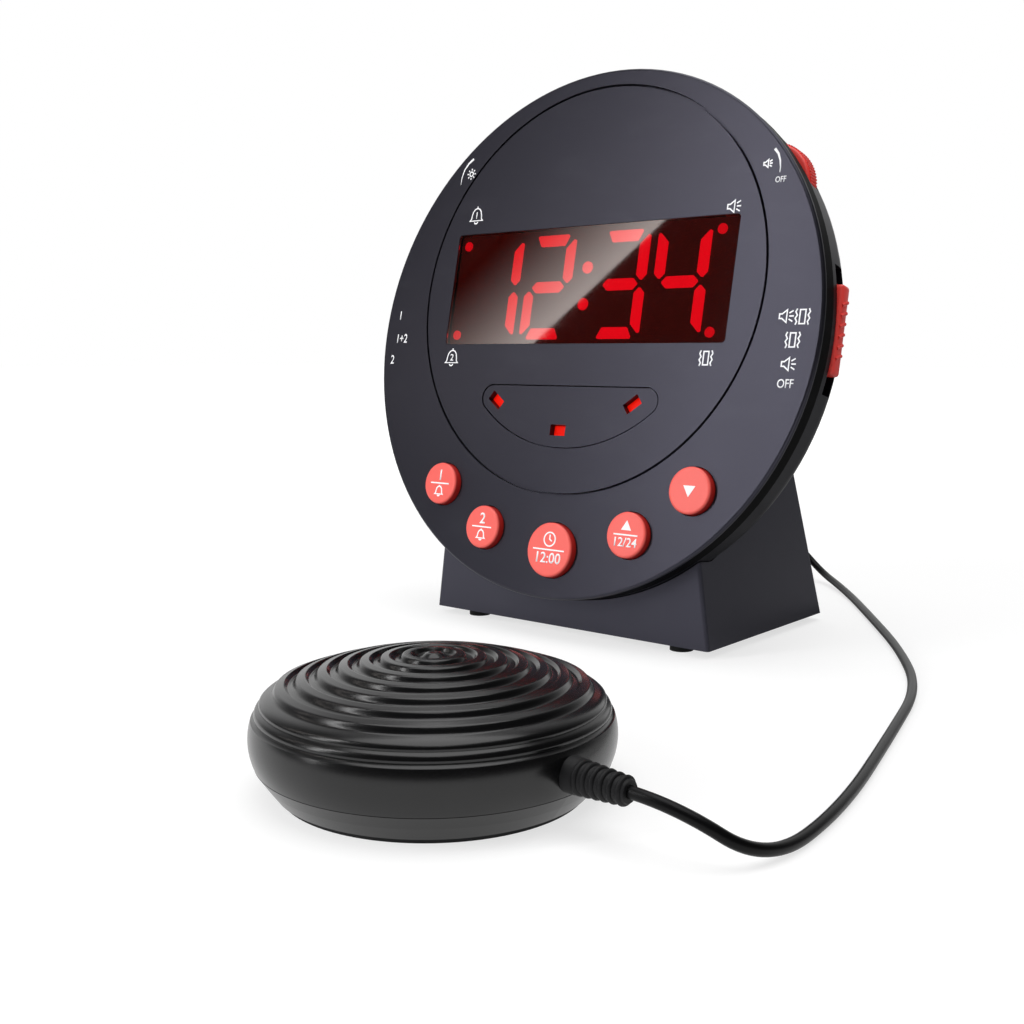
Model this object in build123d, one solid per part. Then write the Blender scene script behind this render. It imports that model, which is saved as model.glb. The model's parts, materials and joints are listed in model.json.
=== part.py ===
from build123d import *
import os
from math import asin, cos, radians, sin, sqrt, tan

# A bedside alarm clock with a round leaning face on a block stand, and a wired puck that shakes the bed.
# Millimetres, +Z up, the face looks along -Y. The origin is on the table, under the middle of the clock.

# Clearances
FIT = 0.1
MOVING_GAP = 0.3
SEAT_GAP = 0.2
WALL = 2.4

# Stand
STAND_WIDTH = 96.6
STAND_DEPTH = 65.6
STAND_TOP = 54.0
STAND_SIDE_TILT = 7.8
STAND_REAR_TILT = 11.3
STAND_CORNER = 1.0
FOOT_HEIGHT = 2.2
FOOT_RADIUS = 3.2
FOOT_SIDE_INSET = 12.0
FOOT_END_INSET = 6.2
BASE_PLATE_THICKNESS = 2.2
BASE_SCREW_INSET = 8.3
BASE_SCREW_FRONT = 18.0
BASE_SCREW_REAR = 22.8
BASE_COLUMN_RADIUS = 3.8
BASE_SCREW_GRIP = 9.0

# Face
FACE_RADIUS = 75.0
FACE_LEAN = 12.0
FACE_CLEARANCE = 12.1
FACE_SETBACK = 5.2
RIM_THICKNESS = 1.2
RIM_ROUND = 0.8
BEZEL_THICKNESS = 3.0
TRIM_WIDTH = 2.7
TRIM_DEPTH = 4.4
TRIM_INSET = 0.2
SKIRT_WALL = 1.4
SKIRT_LAP = 0.5
PANEL_RISE = 12.25
PANEL_TOP_GAP = 4.7
PANEL_GAP = 0.35
PANEL_THICKNESS = 1.6
PANEL_LEDGE = 3.0

# Display
WINDOW_SIDE_MARGIN = 9.55
WINDOW_HEIGHT = 33.6
WINDOW_RISE = 13.7
WINDOW_CORNER = 1.0
LENS_RECESS = 0.15
LENS_FLANGE = 2.0
LENS_FLANGE_THICKNESS = 1.0
MODULE_FRAME_DEPTH = 3.4
MODULE_BODY_INSET = 1.0
MODULE_BODY_DEPTH = 4.2
DIGIT_WIDTH = 16.6
DIGIT_HEIGHT = 30.4
DIGIT_STROKE = 3.2
DIGIT_GAP = 0.9
DIGIT_CORNER = 2.4
DIGIT_ROUND = 0.5
DISPLAY_SHIFT = -1.6
DIGIT_SHIFT = 1.2
DIGIT_PITCH = 19.2
COLON_SPREAD = 3.0
COLON_SHIFT = 2.0
COLON_HALF_SPACING = 5.25
COLON_DOT_RADIUS = 1.7
SEGMENT_THICKNESS = 0.4
INDICATOR_RADIUS = 1.4
INDICATOR_MARGIN = 4.3
INDICATOR_HALF_SPACING = 13.7
BOARD_THICKNESS = 1.6
BOARD_WHEEL_GAP = 1.7
BOARD_MARGIN = 3.0
POST_RADIUS = 2.5
POST_INSET = 3.0

# Alert panel
ALERT_RADIUS = 44.85
ALERT_TOP = -15.4
ALERT_CORNER = 3.6
ALERT_RECESS = 0.15
ALERT_FLANGE = 1.4
LIGHT_RING_RADIUS = 40.0
LIGHT_ANGLE = 36.8
LIGHT_SHIFT = -1.4
LIGHT_LENGTH = 5.3
LIGHT_WIDTH = 3.1
LIGHT_RECESS = 0.9

# Buttons
BUTTON_EDGE = 13.6
BUTTON_RADIUS = 6.2
TIME_BUTTON_RADIUS = 7.6
BUTTON_PROUD = 2.2
BUTTON_ROUND = 0.7
BUTTON_TRAVEL = 0.8
BUTTON_FLANGE = 1.2
BUTTON_FLANGE_THICKNESS = 1.0
BUTTON_INNER_ANGLE = 24.0
BUTTON_OUTER_ANGLE = 44.5
BUTTON_TURN = 2.6
PLUNGER_RADIUS = 2.0
KEY_SWITCH_SIZE = 6.0
KEY_SWITCH_HEIGHT = 3.4
KEY_POST_LENGTH = 7.0
KEY_POST_RADIUS = 2.4
KEY_BOARD_HALF_WIDTH = 7.5
KEY_BOARD_OVERHANG = 8.0
SMALL_SCREW_RADIUS = 1.0
SMALL_HEAD_RADIUS = 1.9
SMALL_HEAD_HEIGHT = 1.3
SMALL_SCREW_GRIP = 4.0

# Rear housing
HOUSING_INSET = 0.4
DRUM_DEPTH = 8.8
DRUM_DRAFT = 0.6
HOUSING_DEPTH = 40.0
CONE_STEP = 25.0
SHOULDER_ROUND = 8.0
BACK_ROUND = 10.0
SCREW_EDGE = 9.0
SCREW_ANGLE = 22.0
SCREW_SEAT = 9.0
SCREW_LEDGE = 2.5
SCREW_RADIUS = 1.25
SCREW_HEAD_RADIUS = 2.7
SCREW_HEAD_HEIGHT = 2.0
SCREW_HOLE_RADIUS = 1.6
BOSS_RADIUS = 3.2
COLUMN_WALL = 1.0
HEAD_GAP = 0.5
STAND_SCREW_U = 28.0
STAND_SCREW_DROP = 10.65
STAND_BOSS_LENGTH = 11.0
STAND_SCREW_GRIP = 7.0
SPEAKER_RADIUS = 20.0
SPEAKER_RIM = 4.0
SPEAKER_MAGNET_RADIUS = 11.0
SPEAKER_MAGNET_DEPTH = 6.5
SPEAKER_V = 2.0
GRILLE_HOLE_RADIUS = 1.1
GRILLE_PITCH = 4.2
GRILLE_RINGS = 3

# Thumbwheels on both shoulders
WHEEL_ANGLE = 38.0
WHEEL_RADIUS = 12.5
WHEEL_PROUD = 1.6
WHEEL_THICKNESS = 5.0
WHEEL_OFFSET = 2.0
WHEEL_GAP = 0.6
WHEEL_NOTCHES = 44
WHEEL_NOTCH_RADIUS = 0.5
WHEEL_SHAFT_RADIUS = 2.0
POT_RADIUS = 4.0
POT_DEPTH = 3.0
POT_CLEARANCE = 0.4
SHAFT_RUNNING_GAP = 0.05

# Slide switches on both flanks
SLIDER_RISE = 2.0
SLIDER_LENGTH = 23.0
SLIDER_WIDTH = 4.2
SLIDER_OFFSET = 3.1
SLIDER_PROUD = 0.3
SLIDER_TRAVEL = 4.5
SLIDER_END_GAP = 0.5
SLIDER_SIDE_GAP = 0.4
SLIDER_RIBS = 7
SLIDER_RIB_DEPTH = 0.7
SLIDER_STEM_LENGTH = 6.0
SLIDER_STEM_WIDTH = 2.5
SLIDER_STEM_DEPTH = 3.0
SWITCH_DEPTH = 5.5
SWITCH_END_MARGIN = 1.5
SWITCH_WALL_GAP = 0.6
SWITCH_BACK_MARGIN = 0.9
SWITCH_RIB = 2.0

# Snooze bar on top
SNOOZE_HALF_WIDTH = 24.0
SNOOZE_FRONT = 9.0
SNOOZE_BACK = 23.0
SNOOZE_PROUD = 1.8
SNOOZE_TRAVEL = 1.5
SNOOZE_GAP = 0.35
SNOOZE_FLANGE = 2.2
SNOOZE_FLANGE_THICKNESS = 1.4
SNOOZE_SHELF_HALF_WIDTH = 12.0
SNOOZE_SHELF_THICKNESS = 2.0
SNOOZE_PLUNGER_LENGTH = 1.2
SNOOZE_BOARD_GAP = 0.6

# Sockets in the rear wall of the stand
JACK_HEIGHT = 33.5
SHAKER_JACK_X = 0.0
DC_JACK_X = -24.0
JACK_BODY = 11.0
JACK_BODY_DEPTH = 12.0
JACK_BUSH_RADIUS = 4.4
JACK_RING_RADIUS = 5.8
JACK_RING_HEIGHT = 0.8
PLUG_PIN_RADIUS = 1.75
PLUG_PIN_LENGTH = 11.0
PLUG_RADIUS = 4.2
PLUG_LENGTH = 18.0
PLUG_TAIL_LENGTH = 8.0
PLUG_TAIL_RADIUS = 2.6
DC_BORE_RADIUS = 2.9
DC_BORE_DEPTH = 9.0
DC_PIN_RADIUS = 1.0

# Backup battery under the stand
BATTERY_LENGTH = 48.5
BATTERY_WIDTH = 26.5
BATTERY_HEIGHT = 17.5
BATTERY_OFFSET = 11.3
BATTERY_GAP = 0.4
BATTERY_ROUND = 1.2
BATTERY_BOX_WALL = 1.4
BATTERY_BOX_HEIGHT = 13.0
BATTERY_CLIP_THICKNESS = 3.0
DOOR_THICKNESS = 1.8

# Bed shaker
SHAKER_X = 57.5
SHAKER_Y = -140.8
SHAKER_TURN = -4.0
SHAKER_RADIUS = 34.0
SHAKER_SEAM_RADIUS = 33.0
SHAKER_SEAM_HEIGHT = 6.0
SHAKER_WAIST_HEIGHT = 10.5
SHAKER_SHOULDER_RADIUS = 31.5
SHAKER_SHOULDER_HEIGHT = 17.6
SHAKER_SOLE_RADIUS = 28.5
SHAKER_SOLE_THICKNESS = 1.0
SHAKER_WALL = 2.0
SHAKER_ROOF = 2.7
RIDGE_COUNT = 7
RIDGE_OUTER_RADIUS = 30.0
RIDGE_HEIGHT = 0.9
NUB_RADIUS = 3.0
NUB_HEIGHT = 1.6
CROWN_EDGE_HEIGHT = 18.4
CROWN_TOP_HEIGHT = 24.2
SHAKER_SCREW_RING = 24.0
SHAKER_SCREW_COUNT = 3
SHAKER_COLUMN_RADIUS = 3.2
SHAKER_SCREW_GRIP = 7.0
MOTOR_RADIUS = 6.0
MOTOR_LENGTH = 20.0
MOTOR_BACK = -14.0
MOTOR_HEIGHT = 11.5
MOTOR_SHAFT_RADIUS = 1.0
MOTOR_SHAFT_LENGTH = 8.0
WEIGHT_RADIUS = 6.3
WEIGHT_HUB_RADIUS = 2.6
WEIGHT_THICKNESS = 6.0
WEIGHT_GAP = 1.2
CRADLE_WIDTH = 15.0
CRADLE_LENGTH = 16.0
CRADLE_HEIGHT = 6.0
RELIEF_HEIGHT = 10.0
RELIEF_RADIUS = 3.2
RELIEF_NECK_RADIUS = 2.3
RELIEF_RINGS = 5
RELIEF_LENGTH = 12.0
RELIEF_FLANGE_RADIUS = 3.8
RELIEF_FLANGE_THICKNESS = 2.0

# Cord between the puck and the clock, end points left to the pieces that it joins
CORD_RADIUS = 1.15
CORD_END_RUN = 9.0
CORD_PLUG_RUN = 12.0
CORD_FLOOR = CORD_RADIUS + FIT
CORD_ROUTE = [
    (124.5, -137.0, CORD_FLOOR),
    (123.0, -107.5, CORD_FLOOR),
    (112.5, -62.5, CORD_FLOOR),
    (102.5, -22.5, CORD_FLOOR),
    (84.0, 11.5, CORD_FLOOR),
    (61.0, 45.5, CORD_FLOOR),
    (38.0, 78.5, CORD_FLOOR),
    (16.0, 100.5, 4.0),
    (3.0, 88.5, 26.0),
]
CORD_CORNER_SHARE = 0.45

# Worked out from the sizes above
PANEL_RADIUS = FACE_RADIUS - PANEL_TOP_GAP - PANEL_RISE
TRIM_BACK = RIM_THICKNESS + TRIM_DEPTH
HOUSING_FRONT_RADIUS = FACE_RADIUS - HOUSING_INSET
DRUM_BACK = TRIM_BACK + DRUM_DEPTH
DRUM_BACK_RADIUS = HOUSING_FRONT_RADIUS - DRUM_DRAFT
BACK_RADIUS = FACE_RADIUS - CONE_STEP
CORE_RADIUS = FACE_RADIUS - TRIM_WIDTH - FIT
SKIRT_RADIUS = HOUSING_FRONT_RADIUS - WALL - SEAT_GAP
WINDOW_WIDTH = 2 * (PANEL_RADIUS - WINDOW_SIDE_MARGIN)
LENS_BACK = PANEL_THICKNESS + LENS_FLANGE_THICKNESS
MODULE_FRONT = LENS_BACK + SEAT_GAP + SEGMENT_THICKNESS
MODULE_FRAME_BACK = MODULE_FRONT + MODULE_FRAME_DEPTH
BOARD_FRONT = MODULE_FRAME_BACK + MODULE_BODY_DEPTH
BOARD_BACK = BOARD_FRONT + BOARD_THICKNESS
WHEEL_RING = HOUSING_FRONT_RADIUS + WHEEL_PROUD - WHEEL_RADIUS
WHEEL_U = WHEEL_RING * cos(radians(WHEEL_ANGLE))
BOARD_WIDTH = 2 * (WHEEL_U - WHEEL_RADIUS - BOARD_WHEEL_GAP)
MODULE_BODY_WIDTH = BOARD_WIDTH - 2 * MODULE_BODY_INSET
POST_U = BOARD_WIDTH / 2 - POST_INSET
INDICATOR_U = WINDOW_WIDTH / 2 - INDICATOR_MARGIN
FLANGE_HEIGHT = WINDOW_HEIGHT + 2 * LENS_FLANGE
POST_RISE = FLANGE_HEIGHT / 2 + POST_RADIUS + MOVING_GAP
BOARD_TOP = WINDOW_RISE + POST_RISE + BOARD_MARGIN
LIGHT_LOW = PANEL_RISE - LIGHT_RING_RADIUS
BOARD_BOTTOM = LIGHT_LOW - LIGHT_WIDTH
BUTTON_RING = FACE_RADIUS - BUTTON_EDGE
BUTTON_FLANGE_FRONT = BEZEL_THICKNESS + SEAT_GAP
KEY_BOARD_FRONT = BEZEL_THICKNESS + KEY_POST_LENGTH
KEY_BOARD_BACK = KEY_BOARD_FRONT + BOARD_THICKNESS
KEY_SWITCH_FRONT = KEY_BOARD_FRONT - KEY_SWITCH_HEIGHT
PLUNGER_BACK = KEY_SWITCH_FRONT - BUTTON_TRAVEL - FIT
BUTTON_MIDDLE = BUTTON_TURN - 90.0
BUTTONS = {
    "alarm_1_button": (BUTTON_MIDDLE - BUTTON_OUTER_ANGLE, BUTTON_RADIUS),
    "alarm_2_button": (BUTTON_MIDDLE - BUTTON_INNER_ANGLE, BUTTON_RADIUS),
    "time_button": (BUTTON_MIDDLE, TIME_BUTTON_RADIUS),
    "up_button": (BUTTON_MIDDLE + BUTTON_INNER_ANGLE, BUTTON_RADIUS),
    "down_button": (BUTTON_MIDDLE + BUTTON_OUTER_ANGLE, BUTTON_RADIUS),
}
KEY_POST_ANGLES = (BUTTON_MIDDLE - BUTTON_INNER_ANGLE / 2, BUTTON_MIDDLE + BUTTON_INNER_ANGLE / 2)
SCREW_RING = FACE_RADIUS - SCREW_EDGE
SCREW_ANGLES = (SCREW_ANGLE, -SCREW_ANGLE, 180.0 - SCREW_ANGLE, 180.0 + SCREW_ANGLE)
SCREW_HEAD_FRONT = SCREW_SEAT + FIT + SCREW_LEDGE
WHEEL_FRONT = TRIM_BACK + WHEEL_OFFSET
WHEEL_BACK = WHEEL_FRONT + WHEEL_THICKNESS
POT_FRONT = WHEEL_BACK + POT_CLEARANCE
POT_BACK = POT_FRONT + POT_DEPTH
SLIDER_FRONT = TRIM_BACK + SLIDER_OFFSET
SLIDER_BACK = SLIDER_FRONT + SLIDER_WIDTH
SWITCH_BACK = SLIDER_BACK + SWITCH_BACK_MARGIN
SLOT_LENGTH = SLIDER_LENGTH + 2 * (SLIDER_TRAVEL + SLIDER_END_GAP)
SWITCH_LENGTH = SLOT_LENGTH + 2 * SWITCH_END_MARGIN
DRUM_INNER_RADIUS = DRUM_BACK_RADIUS - WALL - FIT
SWITCH_FACE = sqrt(DRUM_INNER_RADIUS**2 - (SLIDER_RISE + SWITCH_LENGTH / 2) ** 2) - SWITCH_WALL_GAP
SLIDER_INNER = SWITCH_FACE + MOVING_GAP
CONE_SLOPE = (DRUM_BACK_RADIUS - BACK_RADIUS) / (HOUSING_DEPTH - DRUM_BACK)
CONE_WALL = WALL * sqrt(1 + CONE_SLOPE**2)
SNOOZE_FLANGE_BACK = SNOOZE_BACK + SNOOZE_FLANGE
SNOOZE_INNER_RADIUS = DRUM_BACK_RADIUS - CONE_SLOPE * (SNOOZE_FLANGE_BACK - DRUM_BACK) - CONE_WALL
SNOOZE_FLANGE_TOP = sqrt(SNOOZE_INNER_RADIUS**2 - (SNOOZE_HALF_WIDTH + SNOOZE_FLANGE) ** 2) - SEAT_GAP
SNOOZE_FLANGE_BOTTOM = SNOOZE_FLANGE_TOP - SNOOZE_FLANGE_THICKNESS
SNOOZE_PLUNGER_BOTTOM = SNOOZE_FLANGE_BOTTOM - SNOOZE_PLUNGER_LENGTH
SNOOZE_SWITCH_TOP = SNOOZE_PLUNGER_BOTTOM - SNOOZE_TRAVEL - FIT
SNOOZE_BOARD_TOP = SNOOZE_SWITCH_TOP - KEY_SWITCH_HEIGHT
SNOOZE_SHELF_TOP = SNOOZE_BOARD_TOP - BOARD_THICKNESS
SNOOZE_MIDDLE = (SNOOZE_FRONT + SNOOZE_BACK) / 2
SNOOZE_BOARD_FRONT = BOARD_BACK + SNOOZE_BOARD_GAP
BASE_PLATE_TOP = FOOT_HEIGHT + BASE_PLATE_THICKNESS
SIDE_SLOPE = tan(radians(STAND_SIDE_TILT))
REAR_SLOPE = tan(radians(STAND_REAR_TILT))
BATTERY_BOTTOM = BASE_PLATE_TOP + SEAT_GAP
RIDGE_PITCH = (RIDGE_OUTER_RADIUS - NUB_RADIUS) / RIDGE_COUNT
SHAKER_FLOOR = SHAKER_SOLE_THICKNESS + SHAKER_WALL
RELIEF_START = SHAKER_RADIUS + SEAT_GAP
RELIEF_END = RELIEF_START + RELIEF_LENGTH
PLUG_END = JACK_RING_HEIGHT + PLUG_LENGTH + PLUG_TAIL_LENGTH
# A cutter reaches this far past what it cuts.
REACH = 60.0

lean = radians(FACE_LEAN)
# The clock reaches as far in front of the origin, at the time button, as it does behind it.
BUTTON_LOW = BUTTON_RING * cos(radians(BUTTON_TURN)) + TIME_BUTTON_RADIUS - BUTTON_ROUND
FACE_OVERHANG = BUTTON_LOW * sin(lean) + BUTTON_PROUD * cos(lean) - FACE_SETBACK
STAND_Y = FACE_OVERHANG / 2
STAND_FRONT = STAND_Y - STAND_DEPTH / 2
STAND_REAR = STAND_Y + STAND_DEPTH / 2
BATTERY_Y = STAND_Y + BATTERY_OFFSET
FACE_HEIGHT = FACE_CLEARANCE + FACE_RADIUS * cos(lean)
STAND_SCREW_SEAT = HOUSING_DEPTH + SEAT_GAP + WALL
STAND_SCREW_HEIGHT = STAND_TOP - STAND_SCREW_DROP
STAND_SCREW_V = (STAND_SCREW_HEIGHT + STAND_SCREW_SEAT * sin(lean) - FACE_HEIGHT) / cos(lean)
FACE = Plane(
    origin=(0, STAND_FRONT + FACE_SETBACK, FACE_HEIGHT),
    x_dir=(1, 0, 0),
    z_dir=(0, -cos(lean), sin(lean)),
)
SHAKER = Pos(SHAKER_X, SHAKER_Y, 0) * Rot(0, 0, SHAKER_TURN)
ON_BOTTOM = (Align.CENTER, Align.CENTER, Align.MIN)
# Turns the seam of a round shell away from the hole for the cord.
SIDEWAYS = Rot(0, 0, 90)


# Helpers in face coordinates: x to the right, y up the face, and depths counted back from its surface

def drum(radius, front, back, u=0.0, v=0.0):
    """A cylinder between two depths behind the face."""
    return Pos(u, v, -back) * Cylinder(radius, back - front, align=ON_BOTTOM)


def slab(width, height, front, back, u=0.0, v=0.0):
    """A box between two depths behind the face."""
    return Pos(u, v, -back) * Box(width, height, back - front, align=ON_BOTTOM)


def plate(sketch, front, back):
    """A flat sketch thickened between two depths behind the face."""
    return extrude(Pos(0, 0, -back) * sketch, amount=back - front)


def around(radius, angle):
    """The point at an angle on a circle about the middle of the face."""
    return radius * cos(radians(angle)), radius * sin(radians(angle))


def mirrored(shape):
    """The same piece on the left flank."""
    return mirror(shape, about=Plane.YZ)


def fused(pieces):
    """One part out of a list of touching or separate pieces."""
    total = pieces[0]
    for piece in pieces[1:]:
        total = total + piece
    return total


def spun(points):
    """A solid of revolution about Z out of a closed outline of radius and height."""
    return revolve(Plane.XZ * make_face(Polyline(*points, close=True)), axis=Axis.Z)


# Front of the clock

def window_sketch(grow):
    """The display window, grown on each side."""
    shape = RectangleRounded(WINDOW_WIDTH + 2 * grow, WINDOW_HEIGHT + 2 * grow, WINDOW_CORNER + max(grow, 0))
    return Pos(0, WINDOW_RISE) * shape


def alert_sketch(grow):
    """The smile-shaped alert panel, a round segment with soft corners, grown on each side."""
    round_part = Pos(0, PANEL_RISE) * Circle(ALERT_RADIUS)
    upper_half = Pos(0, ALERT_TOP + REACH) * Rectangle(4 * REACH, 2 * REACH)
    segment = round_part - upper_half
    segment = fillet(segment.vertices(), ALERT_CORNER)
    if grow:
        segment = offset(segment, amount=grow)
    return segment


def light_places():
    """Where the three alert lights sit on the alert panel, with their turn."""
    places = []
    for turn in (-LIGHT_ANGLE, 0.0, LIGHT_ANGLE):
        u, v = around(LIGHT_RING_RADIUS, turn - 90.0)
        places.append(Pos(u + LIGHT_SHIFT, v + PANEL_RISE) * Rot(0, 0, turn))
    return places


def light_sketch(grow):
    """The three alert light slots, grown on each side."""
    slot = Rectangle(LIGHT_LENGTH + 2 * grow, LIGHT_WIDTH + 2 * grow)
    return fused([place * slot for place in light_places()])


def board_posts():
    """Where the main board is screwed to the back of the face panel."""
    return [(u, WINDOW_RISE + v) for u in (-POST_U, POST_U) for v in (-POST_RISE, POST_RISE)]


def front_bezel():
    """The outer ring of the face, with the panel pocket, button holes and screw bosses."""
    rim = drum(FACE_RADIUS, 0, RIM_THICKNESS)
    rim = fillet(rim.edges().group_by(Axis.Z)[-1], RIM_ROUND)
    body = rim + drum(CORE_RADIUS, RIM_THICKNESS, BEZEL_THICKNESS)
    skirt = drum(SKIRT_RADIUS, BEZEL_THICKNESS, TRIM_BACK + SKIRT_LAP)
    skirt -= drum(SKIRT_RADIUS - SKIRT_WALL, BEZEL_THICKNESS, TRIM_BACK + SKIRT_LAP)
    body += skirt
    for angle in SCREW_ANGLES:
        body += drum(BOSS_RADIUS, BEZEL_THICKNESS, SCREW_SEAT, *around(SCREW_RING, angle))
    for angle in KEY_POST_ANGLES:
        body += drum(KEY_POST_RADIUS, BEZEL_THICKNESS, KEY_BOARD_FRONT, *around(BUTTON_RING, angle))
    body -= drum(PANEL_RADIUS + PANEL_GAP, -REACH, PANEL_THICKNESS, v=PANEL_RISE)
    body -= drum(PANEL_RADIUS - PANEL_LEDGE, 0, BEZEL_THICKNESS, v=PANEL_RISE)
    body -= plate(window_sketch(LENS_FLANGE + MOVING_GAP), PANEL_THICKNESS, BEZEL_THICKNESS)
    for angle, radius in BUTTONS.values():
        body -= drum(radius + MOVING_GAP, -REACH, REACH, *around(BUTTON_RING, angle))
    for angle in SCREW_ANGLES:
        grip = SCREW_HEAD_FRONT - SCREW_SEAT
        body -= drum(SCREW_RADIUS, RIM_THICKNESS + grip, SCREW_SEAT, *around(SCREW_RING, angle))
    for angle in KEY_POST_ANGLES:
        hole_front = KEY_BOARD_FRONT - SMALL_SCREW_GRIP
        body -= drum(SMALL_SCREW_RADIUS, hole_front, KEY_BOARD_FRONT, *around(BUTTON_RING, angle))
    return body


def trim_ring():
    """The black band between the bezel and the rear housing."""
    ring = drum(FACE_RADIUS - TRIM_INSET, RIM_THICKNESS, TRIM_BACK)
    return ring - drum(FACE_RADIUS - TRIM_WIDTH, RIM_THICKNESS, TRIM_BACK)


def face_panel():
    """The round inner panel with the window, the alert opening and the posts for the main board."""
    body = drum(PANEL_RADIUS - PANEL_GAP, 0, PANEL_THICKNESS, v=PANEL_RISE)
    body -= plate(window_sketch(FIT), 0, PANEL_THICKNESS)
    body -= plate(alert_sketch(PANEL_GAP), 0, PANEL_THICKNESS)
    for u, v in board_posts():
        body += drum(POST_RADIUS, PANEL_THICKNESS, BOARD_FRONT, u, v)
        body -= drum(SMALL_SCREW_RADIUS, BOARD_FRONT - SMALL_SCREW_GRIP, BOARD_FRONT, u, v)
    return body


def alert_panel():
    """The smile-shaped insert with three slots for the alert lights."""
    front = plate(alert_sketch(0.0), ALERT_RECESS, PANEL_THICKNESS)
    flange = plate(alert_sketch(ALERT_FLANGE), PANEL_THICKNESS, LENS_BACK)
    return front + flange - plate(light_sketch(0.0), ALERT_RECESS, LENS_BACK)


def alert_lights():
    """Three red light guides from the main board up to the slots."""
    return plate(light_sketch(-FIT), LIGHT_RECESS, BOARD_FRONT - SEAT_GAP)


def display_lens():
    """The dark red window with its flange behind the panel."""
    front = plate(window_sketch(0.0), LENS_RECESS, PANEL_THICKNESS)
    return front + plate(window_sketch(LENS_FLANGE), PANEL_THICKNESS, LENS_BACK)


def display_module():
    """The black display block, wide in front and narrow where the thumbwheels need room."""
    frame = slab(WINDOW_WIDTH, WINDOW_HEIGHT, MODULE_FRONT, MODULE_FRAME_BACK, v=WINDOW_RISE)
    return frame + slab(MODULE_BODY_WIDTH, WINDOW_HEIGHT, MODULE_FRAME_BACK, BOARD_FRONT, v=WINDOW_RISE)


def digit_strokes():
    """The seven strokes of one digit about its middle, by their usual letters."""
    w = DIGIT_WIDTH / 2
    h = DIGIT_HEIGHT / 2
    t = DIGIT_STROKE
    k = DIGIT_GAP
    c = DIGIT_CORNER
    top = [(-w + c, h), (w - c, h), (w - t - k, h - t), (-w + t + k, h - t)]
    right_half = [(w - t / 2 - k, 0), (w - t - k, t / 2), (-w + t + k, t / 2)]
    middle = right_half + [(-x, -y) for x, y in right_half]
    side = [(w, h - k), (w, t / 2 + k), (w - t / 2, k), (w - t, t / 2 + k), (w - t, h - t - k)]
    return {
        "a": top,
        "b": side,
        "c": [(x, -y) for x, y in side],
        "d": [(x, -y) for x, y in top],
        "e": [(-x, -y) for x, y in side],
        "f": [(-x, y) for x, y in side],
        "g": middle,
    }


def lit_digit(strokes):
    """The lit strokes of one digit as one sketch."""
    shapes = digit_strokes()
    faces = [make_face(Polyline(*shapes[name], close=True)) for name in strokes]
    return fused([fillet(face.vertices(), DIGIT_ROUND) for face in faces])


def digit_segments():
    """The lit strokes that read 12:34, with the colon."""
    middle = DISPLAY_SHIFT + DIGIT_SHIFT
    left = middle - COLON_SPREAD - DIGIT_PITCH / 2
    right = middle + COLON_SPREAD + DIGIT_PITCH / 2
    row = ((left - DIGIT_PITCH, "bc"), (left, "abged"), (right, "abgcd"), (right + DIGIT_PITCH, "fgbc"))
    shapes = [Pos(u, WINDOW_RISE) * lit_digit(strokes) for u, strokes in row]
    for rise in (-COLON_HALF_SPACING, COLON_HALF_SPACING):
        shapes.append(Pos(DISPLAY_SHIFT + COLON_SHIFT, WINDOW_RISE + rise) * Circle(COLON_DOT_RADIUS))
    return plate(fused(shapes), MODULE_FRONT - SEGMENT_THICKNESS, MODULE_FRONT)


def indicator_dots():
    """Four small lamps in the corners of the display."""
    dots = []
    for u in (-INDICATOR_U, INDICATOR_U):
        for rise in (-INDICATOR_HALF_SPACING, INDICATOR_HALF_SPACING):
            dots.append(Pos(DISPLAY_SHIFT + u, WINDOW_RISE + rise) * Circle(INDICATOR_RADIUS))
    return plate(fused(dots), MODULE_FRONT - SEGMENT_THICKNESS, MODULE_FRONT)


def main_board():
    """The circuit board that carries the display and the alert lights."""
    height = BOARD_TOP - BOARD_BOTTOM
    body = slab(BOARD_WIDTH, height, BOARD_FRONT, BOARD_BACK, v=(BOARD_TOP + BOARD_BOTTOM) / 2)
    for u, v in board_posts():
        body -= drum(SMALL_SCREW_RADIUS + FIT, BOARD_FRONT, BOARD_BACK, u, v)
    return body


def small_screw(seat, u, v):
    """A small board screw whose head rests on a board at a given depth."""
    head = drum(SMALL_HEAD_RADIUS, seat, seat + SMALL_HEAD_HEIGHT, u, v)
    return head + drum(SMALL_SCREW_RADIUS, seat - BOARD_THICKNESS - SMALL_SCREW_GRIP, seat, u, v)


def board_screws():
    """The screws of the main board and of the key board."""
    screws = [small_screw(BOARD_BACK, u, v) for u, v in board_posts()]
    screws += [small_screw(KEY_BOARD_BACK, *around(BUTTON_RING, angle)) for angle in KEY_POST_ANGLES]
    return fused(screws)


# Buttons

def button(angle, radius):
    """One push button with its retaining flange and plunger."""
    u, v = around(BUTTON_RING, angle)
    cap = drum(radius, -BUTTON_PROUD, BUTTON_FLANGE_FRONT, u, v)
    cap = fillet(cap.edges().group_by(Axis.Z)[-1], BUTTON_ROUND)
    flange_back = BUTTON_FLANGE_FRONT + BUTTON_FLANGE_THICKNESS
    flange = drum(radius + BUTTON_FLANGE, BUTTON_FLANGE_FRONT, flange_back, u, v)
    return cap + flange + drum(PLUNGER_RADIUS, flange_back, PLUNGER_BACK, u, v)


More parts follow.
